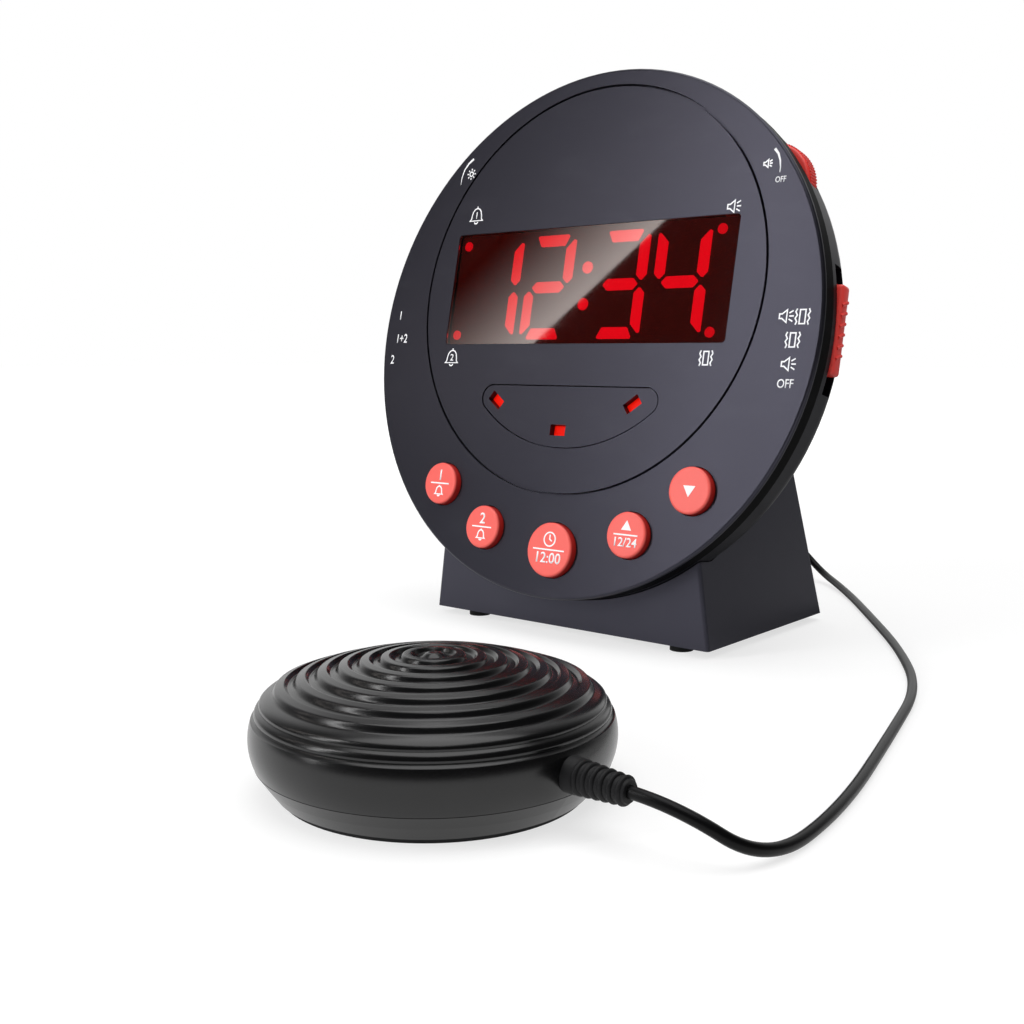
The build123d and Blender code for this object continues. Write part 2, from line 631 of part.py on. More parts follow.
def key_board():
    """The curved board behind the buttons."""
    ring = Circle(BUTTON_RING + KEY_BOARD_HALF_WIDTH) - Circle(BUTTON_RING - KEY_BOARD_HALF_WIDTH)
    low = around(BUTTON_RING, BUTTON_MIDDLE + BUTTON_OUTER_ANGLE)[1] + KEY_BOARD_OVERHANG
    lower_part = Pos(0, low - 2 * REACH) * Rectangle(4 * REACH, 4 * REACH)
    body = plate(ring & lower_part, KEY_BOARD_FRONT, KEY_BOARD_BACK)
    for angle in KEY_POST_ANGLES:
        body -= drum(SMALL_SCREW_RADIUS + FIT, KEY_BOARD_FRONT, KEY_BOARD_BACK, *around(BUTTON_RING, angle))
    return body


def key_switches():
    """The five push switches under the buttons."""
    size = KEY_SWITCH_SIZE
    places = [around(BUTTON_RING, angle) for angle, _ in BUTTONS.values()]
    return fused([slab(size, size, KEY_SWITCH_FRONT, KEY_BOARD_FRONT, u, v) for u, v in places])


# Rear housing

def housing_outline(grow):
    """Half of the housing's section, radius against depth, grown outwards and open in front."""
    outline = make_face(
        Polyline(
            (HOUSING_FRONT_RADIUS, REACH),
            (HOUSING_FRONT_RADIUS, -TRIM_BACK),
            (DRUM_BACK_RADIUS, -DRUM_BACK),
            (BACK_RADIUS, -HOUSING_DEPTH),
            (-BACK_RADIUS, -HOUSING_DEPTH),
            (-DRUM_BACK_RADIUS, -DRUM_BACK),
            (-HOUSING_FRONT_RADIUS, -TRIM_BACK),
            (-HOUSING_FRONT_RADIUS, REACH),
            close=True,
        )
    )
    shoulder = [point for point in outline.vertices() if abs(point.Y + DRUM_BACK) < FIT]
    outline = fillet(shoulder, SHOULDER_ROUND)
    back = [point for point in outline.vertices() if abs(point.Y + HOUSING_DEPTH) < FIT]
    outline = fillet(back, BACK_ROUND)
    if grow:
        outline = offset(outline, amount=grow, kind=Kind.INTERSECTION)
    return outline & Rectangle(4 * REACH, 4 * REACH, align=(Align.MIN, Align.CENTER))


def housing_solid(grow):
    """The housing as a full body of revolution, grown outwards and cut off behind the trim ring."""
    body = revolve(Plane.XZ * housing_outline(grow), axis=Axis.Z)
    return body - slab(4 * REACH, 4 * REACH, -2 * REACH, TRIM_BACK)


def body_envelope(grow):
    """All of the round body, grown outwards and carried on in front, as the stand sees it."""
    return housing_solid(grow) + drum(FACE_RADIUS + grow, -REACH, TRIM_BACK)


def switch_slot():
    """The opening in the right flank for a slide switch."""
    front = SLIDER_FRONT - SLIDER_SIDE_GAP
    back = SLIDER_BACK + SLIDER_SIDE_GAP
    return slab(REACH, SLOT_LENGTH, front, back, u=SWITCH_FACE + REACH / 2, v=SLIDER_RISE)


def switch_ribs():
    """Two ribs in the right flank that hold the slide switch."""
    ribs = []
    for side in (-1, 1):
        v = SLIDER_RISE + side * (SWITCH_LENGTH / 2 + FIT + SWITCH_RIB / 2)
        width = SWITCH_DEPTH + WALL
        ribs.append(slab(width, SWITCH_RIB, TRIM_BACK + SKIRT_LAP + FIT, DRUM_BACK, u=SWITCH_FACE, v=v))
    return fused(ribs)


def snooze_prism(grow, bottom):
    """The upright block that the snooze bar is cut from, grown on each side."""
    width = 2 * (SNOOZE_HALF_WIDTH + grow)
    height = FACE_RADIUS + REACH - bottom
    return slab(width, height, SNOOZE_FRONT - grow, SNOOZE_BACK + grow, v=bottom + height / 2)


def grille():
    """Rings of sound holes in the back."""
    holes = [Pos(0, SPEAKER_V) * Circle(GRILLE_HOLE_RADIUS)]
    for ring in range(1, GRILLE_RINGS + 1):
        spots = PolarLocations(ring * GRILLE_PITCH, 6 * ring)
        holes += [Pos(0, SPEAKER_V) * spot * Circle(GRILLE_HOLE_RADIUS) for spot in spots]
    return plate(fused(holes), HOUSING_DEPTH - 2 * WALL, HOUSING_DEPTH + WALL)


def rear_housing():
    """The drum and cone behind the face, with its screw columns, switch slots and sound holes."""
    outer = housing_solid(0.0)
    added = switch_ribs() + mirrored(switch_ribs())
    for angle in SCREW_ANGLES:
        radius = SCREW_HEAD_RADIUS + HEAD_GAP + COLUMN_WALL
        added += drum(radius, SCREW_SEAT + FIT, HOUSING_DEPTH, *around(SCREW_RING, angle))
    for u in (-STAND_SCREW_U, STAND_SCREW_U):
        added += drum(BOSS_RADIUS, HOUSING_DEPTH - WALL - STAND_BOSS_LENGTH, HOUSING_DEPTH, u, STAND_SCREW_V)
    pot_boss = drum(POT_RADIUS, POT_BACK, HOUSING_DEPTH, *around(WHEEL_RING, WHEEL_ANGLE))
    shelf_v = SNOOZE_SHELF_TOP - SNOOZE_SHELF_THICKNESS / 2
    shelf_width = 2 * SNOOZE_SHELF_HALF_WIDTH
    shelf = slab(shelf_width, SNOOZE_SHELF_THICKNESS, SNOOZE_BOARD_FRONT, HOUSING_DEPTH, v=shelf_v)
    added += pot_boss + mirrored(pot_boss) + shelf
    body = outer - housing_solid(-WALL) + (added & outer)
    body -= switch_slot() + mirrored(switch_slot())
    body -= wheel_room() + mirrored(wheel_room())
    body -= snooze_prism(SNOOZE_GAP, SNOOZE_FLANGE_TOP)
    body -= grille()
    for angle in SCREW_ANGLES:
        u, v = around(SCREW_RING, angle)
        body -= drum(SCREW_HOLE_RADIUS, TRIM_BACK, HOUSING_DEPTH, u, v)
        body -= drum(SCREW_HEAD_RADIUS + HEAD_GAP, SCREW_HEAD_FRONT, HOUSING_DEPTH + WALL, u, v)
    for u in (-STAND_SCREW_U, STAND_SCREW_U):
        body -= drum(SCREW_RADIUS, HOUSING_DEPTH - WALL - STAND_SCREW_GRIP, HOUSING_DEPTH, u, STAND_SCREW_V)
    return body


def housing_screws():
    """Four screws from the back into the bezel."""
    screws = []
    for angle in SCREW_ANGLES:
        u, v = around(SCREW_RING, angle)
        head = drum(SCREW_HEAD_RADIUS, SCREW_HEAD_FRONT, SCREW_HEAD_FRONT + SCREW_HEAD_HEIGHT, u, v)
        tip = RIM_THICKNESS + SCREW_HEAD_FRONT - SCREW_SEAT
        screws.append(head + drum(SCREW_RADIUS, tip, SCREW_HEAD_FRONT, u, v))
    return fused(screws)


def speaker():
    """The sounder behind the sound holes."""
    back = HOUSING_DEPTH - WALL
    rim = drum(SPEAKER_RADIUS, back - SPEAKER_RIM, back, v=SPEAKER_V)
    magnet_back = back - SPEAKER_RIM
    return rim + drum(SPEAKER_MAGNET_RADIUS, magnet_back - SPEAKER_MAGNET_DEPTH, magnet_back, v=SPEAKER_V)


# Thumbwheels and slide switches, modelled on the right flank

def wheel_room():
    """The space that a thumbwheel turns in."""
    front = WHEEL_FRONT - WHEEL_GAP
    back = WHEEL_BACK + POT_CLEARANCE
    return drum(WHEEL_RADIUS + WHEEL_GAP, front, back, *around(WHEEL_RING, WHEEL_ANGLE))


def thumbwheel():
    """A notched wheel with the stub shaft that turns its control."""
    u, v = around(WHEEL_RING, WHEEL_ANGLE)
    notches = PolarLocations(WHEEL_RADIUS, WHEEL_NOTCHES)
    outline = Circle(WHEEL_RADIUS) - fused([spot * Circle(WHEEL_NOTCH_RADIUS) for spot in notches])
    wheel = Pos(u, v) * plate(outline, WHEEL_FRONT, WHEEL_BACK)
    return wheel + drum(WHEEL_SHAFT_RADIUS, WHEEL_BACK, POT_BACK - POT_CLEARANCE, u, v)


def rotary_control():
    """The rotary control behind a thumbwheel, with the hole for its shaft."""
    u, v = around(WHEEL_RING, WHEEL_ANGLE)
    hole = drum(WHEEL_SHAFT_RADIUS + SHAFT_RUNNING_GAP, POT_FRONT, POT_BACK - POT_CLEARANCE / 2, u, v)
    return drum(POT_RADIUS, POT_FRONT, POT_BACK, u, v) - hole


def slider_knob():
    """The ribbed knob of a slide switch with the stem that reaches into the switch."""
    outer = FACE_RADIUS + SLIDER_PROUD
    knob_middle = (outer + SLIDER_INNER) / 2
    knob = slab(outer - SLIDER_INNER, SLIDER_LENGTH, SLIDER_FRONT, SLIDER_BACK, knob_middle, SLIDER_RISE)
    pitch = SLIDER_LENGTH / SLIDER_RIBS
    for step in range(1, SLIDER_RIBS):
        v = SLIDER_RISE - SLIDER_LENGTH / 2 + step * pitch
        groove = slab(2 * SLIDER_RIB_DEPTH, pitch / 3, SLIDER_FRONT, SLIDER_BACK, outer, v)
        knob -= groove
    middle = (SLIDER_FRONT + SLIDER_BACK) / 2
    half = SLIDER_STEM_WIDTH / 2
    stem_inner = SWITCH_FACE - SLIDER_STEM_DEPTH
    stem_middle = (SLIDER_INNER + stem_inner) / 2
    reach = SLIDER_INNER - stem_inner
    stem = slab(reach, SLIDER_STEM_LENGTH, middle - half, middle + half, stem_middle, SLIDER_RISE)
    return knob + stem


def slide_switch():
    """The black body of a slide switch, with the channel that its stem runs in."""
    middle = (SLIDER_FRONT + SLIDER_BACK) / 2
    u = SWITCH_FACE - SWITCH_DEPTH / 2
    body = slab(SWITCH_DEPTH, SWITCH_LENGTH, TRIM_BACK + SKIRT_LAP + FIT, SWITCH_BACK, u, SLIDER_RISE)
    half = SLIDER_STEM_WIDTH / 2 + MOVING_GAP
    length = SLIDER_STEM_LENGTH + 2 * (SLIDER_TRAVEL + SLIDER_END_GAP)
    depth = SLIDER_STEM_DEPTH + MOVING_GAP
    return body - slab(depth, length, middle - half, middle + half, SWITCH_FACE - depth / 2, SLIDER_RISE)


# Snooze bar

def snooze_bar():
    """The long bar on top, shaped like the housing below it, with a flange that keeps it in."""
    block = snooze_prism(0.0, SNOOZE_FLANGE_BOTTOM) & housing_solid(SNOOZE_PROUD)
    flange_width = 2 * (SNOOZE_HALF_WIDTH + SNOOZE_FLANGE)
    flange_middle = (SNOOZE_FLANGE_TOP + SNOOZE_FLANGE_BOTTOM) / 2
    flange_front = SNOOZE_FRONT - SNOOZE_FLANGE
    flange = slab(flange_width, SNOOZE_FLANGE_THICKNESS, flange_front, SNOOZE_FLANGE_BACK, v=flange_middle)
    plunger_middle = (SNOOZE_FLANGE_BOTTOM + SNOOZE_PLUNGER_BOTTOM) / 2
    front = SNOOZE_MIDDLE - PLUNGER_RADIUS
    back = SNOOZE_MIDDLE + PLUNGER_RADIUS
    plunger = slab(2 * PLUNGER_RADIUS, SNOOZE_PLUNGER_LENGTH, front, back, v=plunger_middle)
    return block + flange + plunger


def snooze_switch():
    """The push switch under the snooze bar on its small board."""
    half = KEY_SWITCH_SIZE / 2
    middle = SNOOZE_BOARD_TOP + KEY_SWITCH_HEIGHT / 2
    switch = slab(2 * half, KEY_SWITCH_HEIGHT, SNOOZE_MIDDLE - half, SNOOZE_MIDDLE + half, v=middle)
    board_middle = SNOOZE_BOARD_TOP - BOARD_THICKNESS / 2
    width = 2 * SNOOZE_SHELF_HALF_WIDTH
    return switch + slab(width, BOARD_THICKNESS, SNOOZE_BOARD_FRONT, SNOOZE_BACK, v=board_middle)


# Stand

def stand_block(inset, bottom, top):
    """The tapered block of the stand between two heights, drawn in on each side."""
    sections = []
    for height in (bottom, top):
        rise = height - FOOT_HEIGHT
        width = STAND_WIDTH - 2 * (rise * SIDE_SLOPE + inset)
        depth = STAND_DEPTH - rise * REAR_SLOPE - 2 * inset
        middle = STAND_Y - rise * REAR_SLOPE / 2
        corner = max(STAND_CORNER - inset, STAND_CORNER / 4)
        sections.append(Pos(0, middle, height) * RectangleRounded(width, depth, corner))
    return loft(sections)


def base_screw_places():
    """Where the base plate is screwed to the stand."""
    x = STAND_WIDTH / 2 - BASE_SCREW_INSET
    front = STAND_FRONT + BASE_SCREW_FRONT
    rear = STAND_REAR - BASE_SCREW_REAR
    return [(side * x, y) for side in (-1, 1) for y in (front, rear)]


def rear_wall(x):
    """The frame of a socket in the rear wall: its origin on the outer face and Z straight out of it."""
    y = STAND_REAR - (JACK_HEIGHT - FOOT_HEIGHT) * REAR_SLOPE
    tilt = radians(STAND_REAR_TILT)
    return Plane(origin=(x, y, JACK_HEIGHT), x_dir=(-1, 0, 0), z_dir=(0, cos(tilt), sin(tilt)))


def stand():
    """The hollow block that carries the round body, open below."""
    outer = stand_block(0.0, FOOT_HEIGHT, STAND_TOP) - FACE * body_envelope(SEAT_GAP)
    inner = stand_block(WALL, FOOT_HEIGHT - WALL, STAND_TOP - WALL) - FACE * body_envelope(SEAT_GAP + WALL)
    body = outer - inner
    for x, y in base_screw_places():
        column = Pos(x, y, BASE_PLATE_TOP) * Cylinder(BASE_COLUMN_RADIUS, STAND_TOP, align=ON_BOTTOM)
        body += column & outer
    for x, y in base_screw_places():
        body -= Pos(x, y, BASE_PLATE_TOP) * Cylinder(SCREW_RADIUS, BASE_SCREW_GRIP, align=ON_BOTTOM)
    for x in (SHAKER_JACK_X, DC_JACK_X):
        body -= rear_wall(x) * Cylinder(JACK_BUSH_RADIUS + FIT, 4 * WALL)
    for u in (-STAND_SCREW_U, STAND_SCREW_U):
        body -= FACE * drum(SCREW_HOLE_RADIUS, HOUSING_DEPTH, HOUSING_DEPTH + 3 * WALL, u, STAND_SCREW_V)
    return body


def stand_screws():
    """Two screws inside the stand that hold the round body."""
    seat = STAND_SCREW_SEAT
    screws = []
    for u in (-STAND_SCREW_U, STAND_SCREW_U):
        head = drum(SCREW_HEAD_RADIUS, seat, seat + SCREW_HEAD_HEIGHT, u, STAND_SCREW_V)
        tip = HOUSING_DEPTH - WALL - STAND_SCREW_GRIP
        screws.append(head + drum(SCREW_RADIUS, tip, seat, u, STAND_SCREW_V))
    return fused(screws)


def battery_room(grow, bottom, top):
    """A box about the battery's place between two heights, grown on each side."""
    size = Box(BATTERY_LENGTH + 2 * grow, BATTERY_WIDTH + 2 * grow, top - bottom, align=ON_BOTTOM)
    return Pos(0, BATTERY_Y, bottom) * size


def clip_room(grow, bottom, top):
    """A box about the snap connector at the right end of the battery, grown on each side."""
    size = Box(BATTERY_CLIP_THICKNESS + grow, BATTERY_WIDTH + 2 * grow, top - bottom,
               align=(Align.MIN, Align.CENTER, Align.MIN))
    return Pos(BATTERY_LENGTH / 2, BATTERY_Y, bottom) * size


def door_axis_y():
    """The hinge line of the battery door, along its front edge."""
    return BATTERY_Y - BATTERY_WIDTH / 2 - BATTERY_GAP + MOVING_GAP


def base_plate():
    """The plate that closes the stand, with the battery box on top of it."""
    body = stand_block(WALL + FIT, FOOT_HEIGHT, BASE_PLATE_TOP)
    top = BASE_PLATE_TOP + BATTERY_BOX_HEIGHT
    wall = BATTERY_GAP + BATTERY_BOX_WALL
    body += battery_room(wall, FOOT_HEIGHT, top) + clip_room(wall, FOOT_HEIGHT, top)
    body -= battery_room(BATTERY_GAP, 0, top + FIT)
    body -= clip_room(BATTERY_GAP, BASE_PLATE_TOP, top + FIT)
    knuckle = Rot(0, 90, 0) * Cylinder(DOOR_THICKNESS + MOVING_GAP, BATTERY_LENGTH + 2 * BATTERY_GAP)
    body -= Pos(0, door_axis_y(), FOOT_HEIGHT) * knuckle
    for x, y in base_screw_places():
        body -= Pos(x, y, FOOT_HEIGHT) * Cylinder(SCREW_HOLE_RADIUS, BASE_PLATE_THICKNESS, align=ON_BOTTOM)
        recess = Cylinder(SCREW_HEAD_RADIUS + MOVING_GAP, SCREW_HEAD_HEIGHT / 2 + FIT, align=ON_BOTTOM)
        body -= Pos(x, y, FOOT_HEIGHT) * recess
    return body


def base_screws():
    """Four flat screws under the base plate."""
    screws = []
    seat = FOOT_HEIGHT + SCREW_HEAD_HEIGHT / 2 + FIT
    head = rod(SCREW_HEAD_RADIUS, FOOT_HEIGHT + FIT, seat)
    screw = head + rod(SCREW_RADIUS, seat, BASE_PLATE_TOP + BASE_SCREW_GRIP)
    for x, y in base_screw_places():
        screws.append(Pos(x, y, 0) * screw)
    return fused(screws)


def battery_door():
    """The flap under the battery, hinged along its front edge."""
    grow = BATTERY_GAP - MOVING_GAP
    return battery_room(grow, FOOT_HEIGHT, FOOT_HEIGHT + DOOR_THICKNESS)


def backup_battery():
    """The block battery that keeps the time in a power cut."""
    body = battery_room(0.0, BATTERY_BOTTOM, BATTERY_BOTTOM + BATTERY_HEIGHT)
    return fillet(body.edges().filter_by(Axis.X), BATTERY_ROUND)


def battery_clip():
    """The snap connector on the end of the battery."""
    return clip_room(0.0, BASE_PLATE_TOP, BASE_PLATE_TOP + BATTERY_HEIGHT)


def rubber_feet():
    """Four round feet under the corners."""
    x = STAND_WIDTH / 2 - FOOT_SIDE_INSET
    feet = []
    for side in (-1, 1):
        for y in (STAND_FRONT + FOOT_END_INSET, STAND_REAR - FOOT_END_INSET):
            feet.append(Pos(side * x, y, 0) * Cylinder(FOOT_RADIUS, FOOT_HEIGHT, align=ON_BOTTOM))
    return fused(feet)


# Sockets and plug, along the outward axis of the rear wall

def rod(radius, start, end):
    """A cylinder between two stations on the Z axis."""
    return Pos(0, 0, start) * Cylinder(radius, end - start, align=ON_BOTTOM)


def socket_body():
    """The bush, ring and block that every socket shares."""
    body = rod(JACK_BUSH_RADIUS, -WALL, 0) + rod(JACK_RING_RADIUS, 0, JACK_RING_HEIGHT)
    block = Box(JACK_BODY, JACK_BODY, JACK_BODY_DEPTH, align=ON_BOTTOM)
    return body + Pos(0, 0, -WALL - JACK_BODY_DEPTH) * block


def shaker_jack():
    """The socket that the puck's plug goes into."""
    bottom = JACK_RING_HEIGHT - PLUG_PIN_LENGTH - FIT
    bore = rod(PLUG_PIN_RADIUS + SHAFT_RUNNING_GAP, bottom, JACK_RING_HEIGHT)
    return rear_wall(SHAKER_JACK_X) * (socket_body() - bore)


def shaker_plug():
    """The round plug on the puck's cord, with its tapering tail."""
    barrel_start = JACK_RING_HEIGHT
    barrel_end = barrel_start + PLUG_LENGTH
    pin = rod(PLUG_PIN_RADIUS, barrel_start - PLUG_PIN_LENGTH, barrel_start)
    tail = spun([
        (0, barrel_end),
        (PLUG_TAIL_RADIUS + CORD_RADIUS / 2, barrel_end),
        (PLUG_TAIL_RADIUS, PLUG_END),
        (0, PLUG_END),
    ])
    return rear_wall(SHAKER_JACK_X) * (pin + rod(PLUG_RADIUS, barrel_start, barrel_end) + tail)


def dc_jack():
    """The socket for the mains adapter, with its centre pin."""
    bottom = JACK_RING_HEIGHT - DC_BORE_DEPTH
    bore = rod(DC_BORE_RADIUS, bottom, JACK_RING_HEIGHT)
    pin = rod(DC_PIN_RADIUS, bottom, 0)
    return rear_wall(DC_JACK_X) * (socket_body() - bore + pin)


# Bed shaker, about its own upright axis

def crown_height(radius):
    """The height of the valleys between the ridges at a radius."""
    return CROWN_TOP_HEIGHT - (CROWN_TOP_HEIGHT - CROWN_EDGE_HEIGHT) * (radius / RIDGE_OUTER_RADIUS) ** 2


def ridge_curves():
    """The ridges of the crown as arcs from the shoulder to the middle, with the nub last."""
    curves = []
    radii = [RIDGE_OUTER_RADIUS - step * RIDGE_PITCH for step in range(RIDGE_COUNT + 1)]
    for outer, inner in zip(radii, radii[1:]):
        middle = (outer + inner) / 2
        top = (middle, crown_height(middle) + RIDGE_HEIGHT)
        curves.append(ThreePointArc((outer, crown_height(outer)), top, (inner, crown_height(inner))))
    foot = crown_height(NUB_RADIUS)
    ball = (NUB_RADIUS**2 + NUB_HEIGHT**2) / (2 * NUB_HEIGHT)
    half_turn = asin(NUB_RADIUS / ball) / 2
    shoulder = (ball * sin(half_turn), foot + NUB_HEIGHT - ball * (1 - cos(half_turn)))
    curves.append(ThreePointArc((NUB_RADIUS, foot), shoulder, (0, foot + NUB_HEIGHT)))
    return curves


def shaker_screw_places():
    """Where the two shells of the puck are screwed together."""
    return PolarLocations(SHAKER_SCREW_RING, SHAKER_SCREW_COUNT, start_angle=180.0)


def shaker_roof():
    """The inside of the puck's upper shell."""
    return SIDEWAYS * spun([
        (0, SHAKER_SEAM_HEIGHT),
        (SHAKER_SEAM_RADIUS - SHAKER_WALL, SHAKER_SEAM_HEIGHT),
        (SHAKER_RADIUS - SHAKER_ROOF, SHAKER_WAIST_HEIGHT),
        (SHAKER_SHOULDER_RADIUS - SHAKER_ROOF, SHAKER_SHOULDER_HEIGHT - SHAKER_WALL),
        (0, CROWN_TOP_HEIGHT - SHAKER_ROOF),
    ])


def shaker_top():
    """The upper shell of the puck with its concentric ridges."""
    seam = (SHAKER_SEAM_RADIUS, SHAKER_SEAM_HEIGHT)
    shoulder = (SHAKER_SHOULDER_RADIUS, SHAKER_SHOULDER_HEIGHT)
    edges = [
        Line((0, SHAKER_SEAM_HEIGHT), seam),
        ThreePointArc(seam, (SHAKER_RADIUS, SHAKER_WAIST_HEIGHT), shoulder),
        Line(shoulder, (RIDGE_OUTER_RADIUS, crown_height(RIDGE_OUTER_RADIUS))),
    ]
    edges += ridge_curves()
    edges.append(Line((0, crown_height(NUB_RADIUS) + NUB_HEIGHT), (0, SHAKER_SEAM_HEIGHT)))
    outer = SIDEWAYS * revolve(Plane.XZ * make_face(edges), axis=Axis.Z)
    body = outer - shaker_roof()
    for place in shaker_screw_places():
        column = Pos(0, 0, SHAKER_SEAM_HEIGHT) * Cylinder(SHAKER_COLUMN_RADIUS, REACH, align=ON_BOTTOM)
        body += (place * column) & shaker_roof()
    for place in shaker_screw_places():
        hole = Pos(0, 0, SHAKER_SEAM_HEIGHT) * Cylinder(SCREW_RADIUS, SHAKER_SCREW_GRIP, align=ON_BOTTOM)
        body -= place * hole
    return body - along_exit(rod(RELIEF_RADIUS + FIT, 0, REACH))


def shaker_base():
    """The lower shell of the puck with its screw columns."""
    foot_radius = SHAKER_SOLE_RADIUS + SHAKER_SOLE_THICKNESS
    inner_radius = SHAKER_SEAM_RADIUS - SHAKER_WALL
    body = spun([
        (0, SHAKER_SOLE_THICKNESS),
        (foot_radius, SHAKER_SOLE_THICKNESS),
        ((foot_radius + SHAKER_SEAM_RADIUS) / 2 + FIT, (SHAKER_SOLE_THICKNESS + SHAKER_SEAM_HEIGHT) / 2),
        (SHAKER_SEAM_RADIUS, SHAKER_SEAM_HEIGHT - FIT),
        (inner_radius, SHAKER_SEAM_HEIGHT - FIT),
        (foot_radius - SHAKER_WALL, SHAKER_FLOOR),
        (0, SHAKER_FLOOR),
    ])
    seat = SHAKER_SOLE_THICKNESS + SCREW_HEAD_HEIGHT
    for place in shaker_screw_places():
        body += place * rod(SHAKER_COLUMN_RADIUS, SHAKER_SOLE_THICKNESS, SHAKER_SEAM_HEIGHT - FIT)
    for place in shaker_screw_places():
        body -= place * rod(SCREW_HOLE_RADIUS, SHAKER_SOLE_THICKNESS, SHAKER_SEAM_HEIGHT)
        body -= place * rod(SCREW_HEAD_RADIUS + FIT, SHAKER_SOLE_THICKNESS, seat)
    return body


def shaker_sole():
    """The soft pad that the puck rests on."""
    return rod(SHAKER_SOLE_RADIUS, 0, SHAKER_SOLE_THICKNESS)


def shaker_screws():
    """The screws between the two shells of the puck, hidden by the sole."""
    seat = SHAKER_SOLE_THICKNESS + SCREW_HEAD_HEIGHT
    head = rod(SCREW_HEAD_RADIUS, SHAKER_SOLE_THICKNESS, seat)
    screw = head + rod(SCREW_RADIUS, seat, SHAKER_SEAM_HEIGHT + SHAKER_SCREW_GRIP)
    return fused([place * screw for place in shaker_screw_places()])


def along_motor(shape):
    """A piece on the Z axis laid along the motor."""
    return Pos(0, 0, MOTOR_HEIGHT) * Rot(-90, 0, 0) * shape


def along_exit(shape):
    """A piece on the Z axis laid along the cord's way out of the puck."""
    return Pos(0, 0, RELIEF_HEIGHT) * Rot(0, 90, 0) * shape


def shaker_motor():
    """The small motor with its shaft."""
    front = MOTOR_BACK + MOTOR_LENGTH
    can = rod(MOTOR_RADIUS, MOTOR_BACK, front)
    return along_motor(can + rod(MOTOR_SHAFT_RADIUS, front, front + MOTOR_SHAFT_LENGTH))


def motor_cradle():
    """The block that holds the motor on the floor of the puck."""
    middle = MOTOR_BACK + MOTOR_LENGTH / 2
    block = Pos(0, middle, SHAKER_FLOOR) * Box(CRADLE_WIDTH, CRADLE_LENGTH, CRADLE_HEIGHT, align=ON_BOTTOM)
    return block - along_motor(rod(MOTOR_RADIUS, MOTOR_BACK - WALL, MOTOR_BACK + MOTOR_LENGTH + WALL))


def eccentric_weight():
    """The half-round weight on the motor's shaft that makes the puck shake."""
    start = MOTOR_BACK + MOTOR_LENGTH + WEIGHT_GAP
    end = start + WEIGHT_THICKNESS
    lower = Pos(0, WEIGHT_RADIUS, 0) * Box(2 * REACH, 2 * WEIGHT_RADIUS, 2 * REACH)
    half_round = rod(WEIGHT_RADIUS, start, end) & lower
    hole = rod(MOTOR_SHAFT_RADIUS + SHAFT_RUNNING_GAP, start, end)
    return along_motor(half_round + rod(WEIGHT_HUB_RADIUS, start, end) - hole)


def strain_relief():
    """The ribbed sleeve where the cord leaves the puck."""
    flange_end = SHAKER_SHOULDER_RADIUS - SHAKER_ROOF - FIT
    body = rod(RELIEF_RADIUS, flange_end, RELIEF_START) + rod(RELIEF_NECK_RADIUS, RELIEF_START, RELIEF_END)
    body += rod(RELIEF_FLANGE_RADIUS, flange_end - RELIEF_FLANGE_THICKNESS, flange_end)
    pitch = RELIEF_LENGTH / RELIEF_RINGS
    for step in range(RELIEF_RINGS):
        start = RELIEF_START + step * pitch
        body += rod(RELIEF_RADIUS, start, start + pitch / 2)
    return along_exit(body)


# Cord

def cord_points():
    """The corners of the cord's way from the puck to the plug."""
    start = SHAKER * Pos(RELIEF_END, 0, RELIEF_HEIGHT)
    second = SHAKER * Pos(RELIEF_END + CORD_END_RUN, 0, RELIEF_HEIGHT)
    plug = Pos(0, 0, PLUG_END)
    before = Pos(0, 0, PLUG_END + CORD_PLUG_RUN)
    wall = rear_wall(SHAKER_JACK_X)
    ends = [(wall.location * before).position, (wall.location * plug).position]
    return [start.position, second.position] + [Vector(*point) for point in CORD_ROUTE] + ends


def cord_corners(points):
    """The radius of the arc at each corner of the cord's way."""
    radii = []
    for before, here, after in zip(points, points[1:], points[2:]):
        turn = radians((here - before).get_angle(after - here))
        shorter = min((here - before).length, (after - here).length)
        radii.append(CORD_CORNER_SHARE * shorter / tan(turn / 2))
    return radii


def shaker_cord():
    """The cord as a tube along straight runs and tangent arcs."""
    points = cord_points()
    path = FilletPolyline(*points, radius=cord_corners(points))
    section = Plane(origin=path @ 0, z_dir=path % 0) * Circle(CORD_RADIUS)
    return sweep(section, path=path)


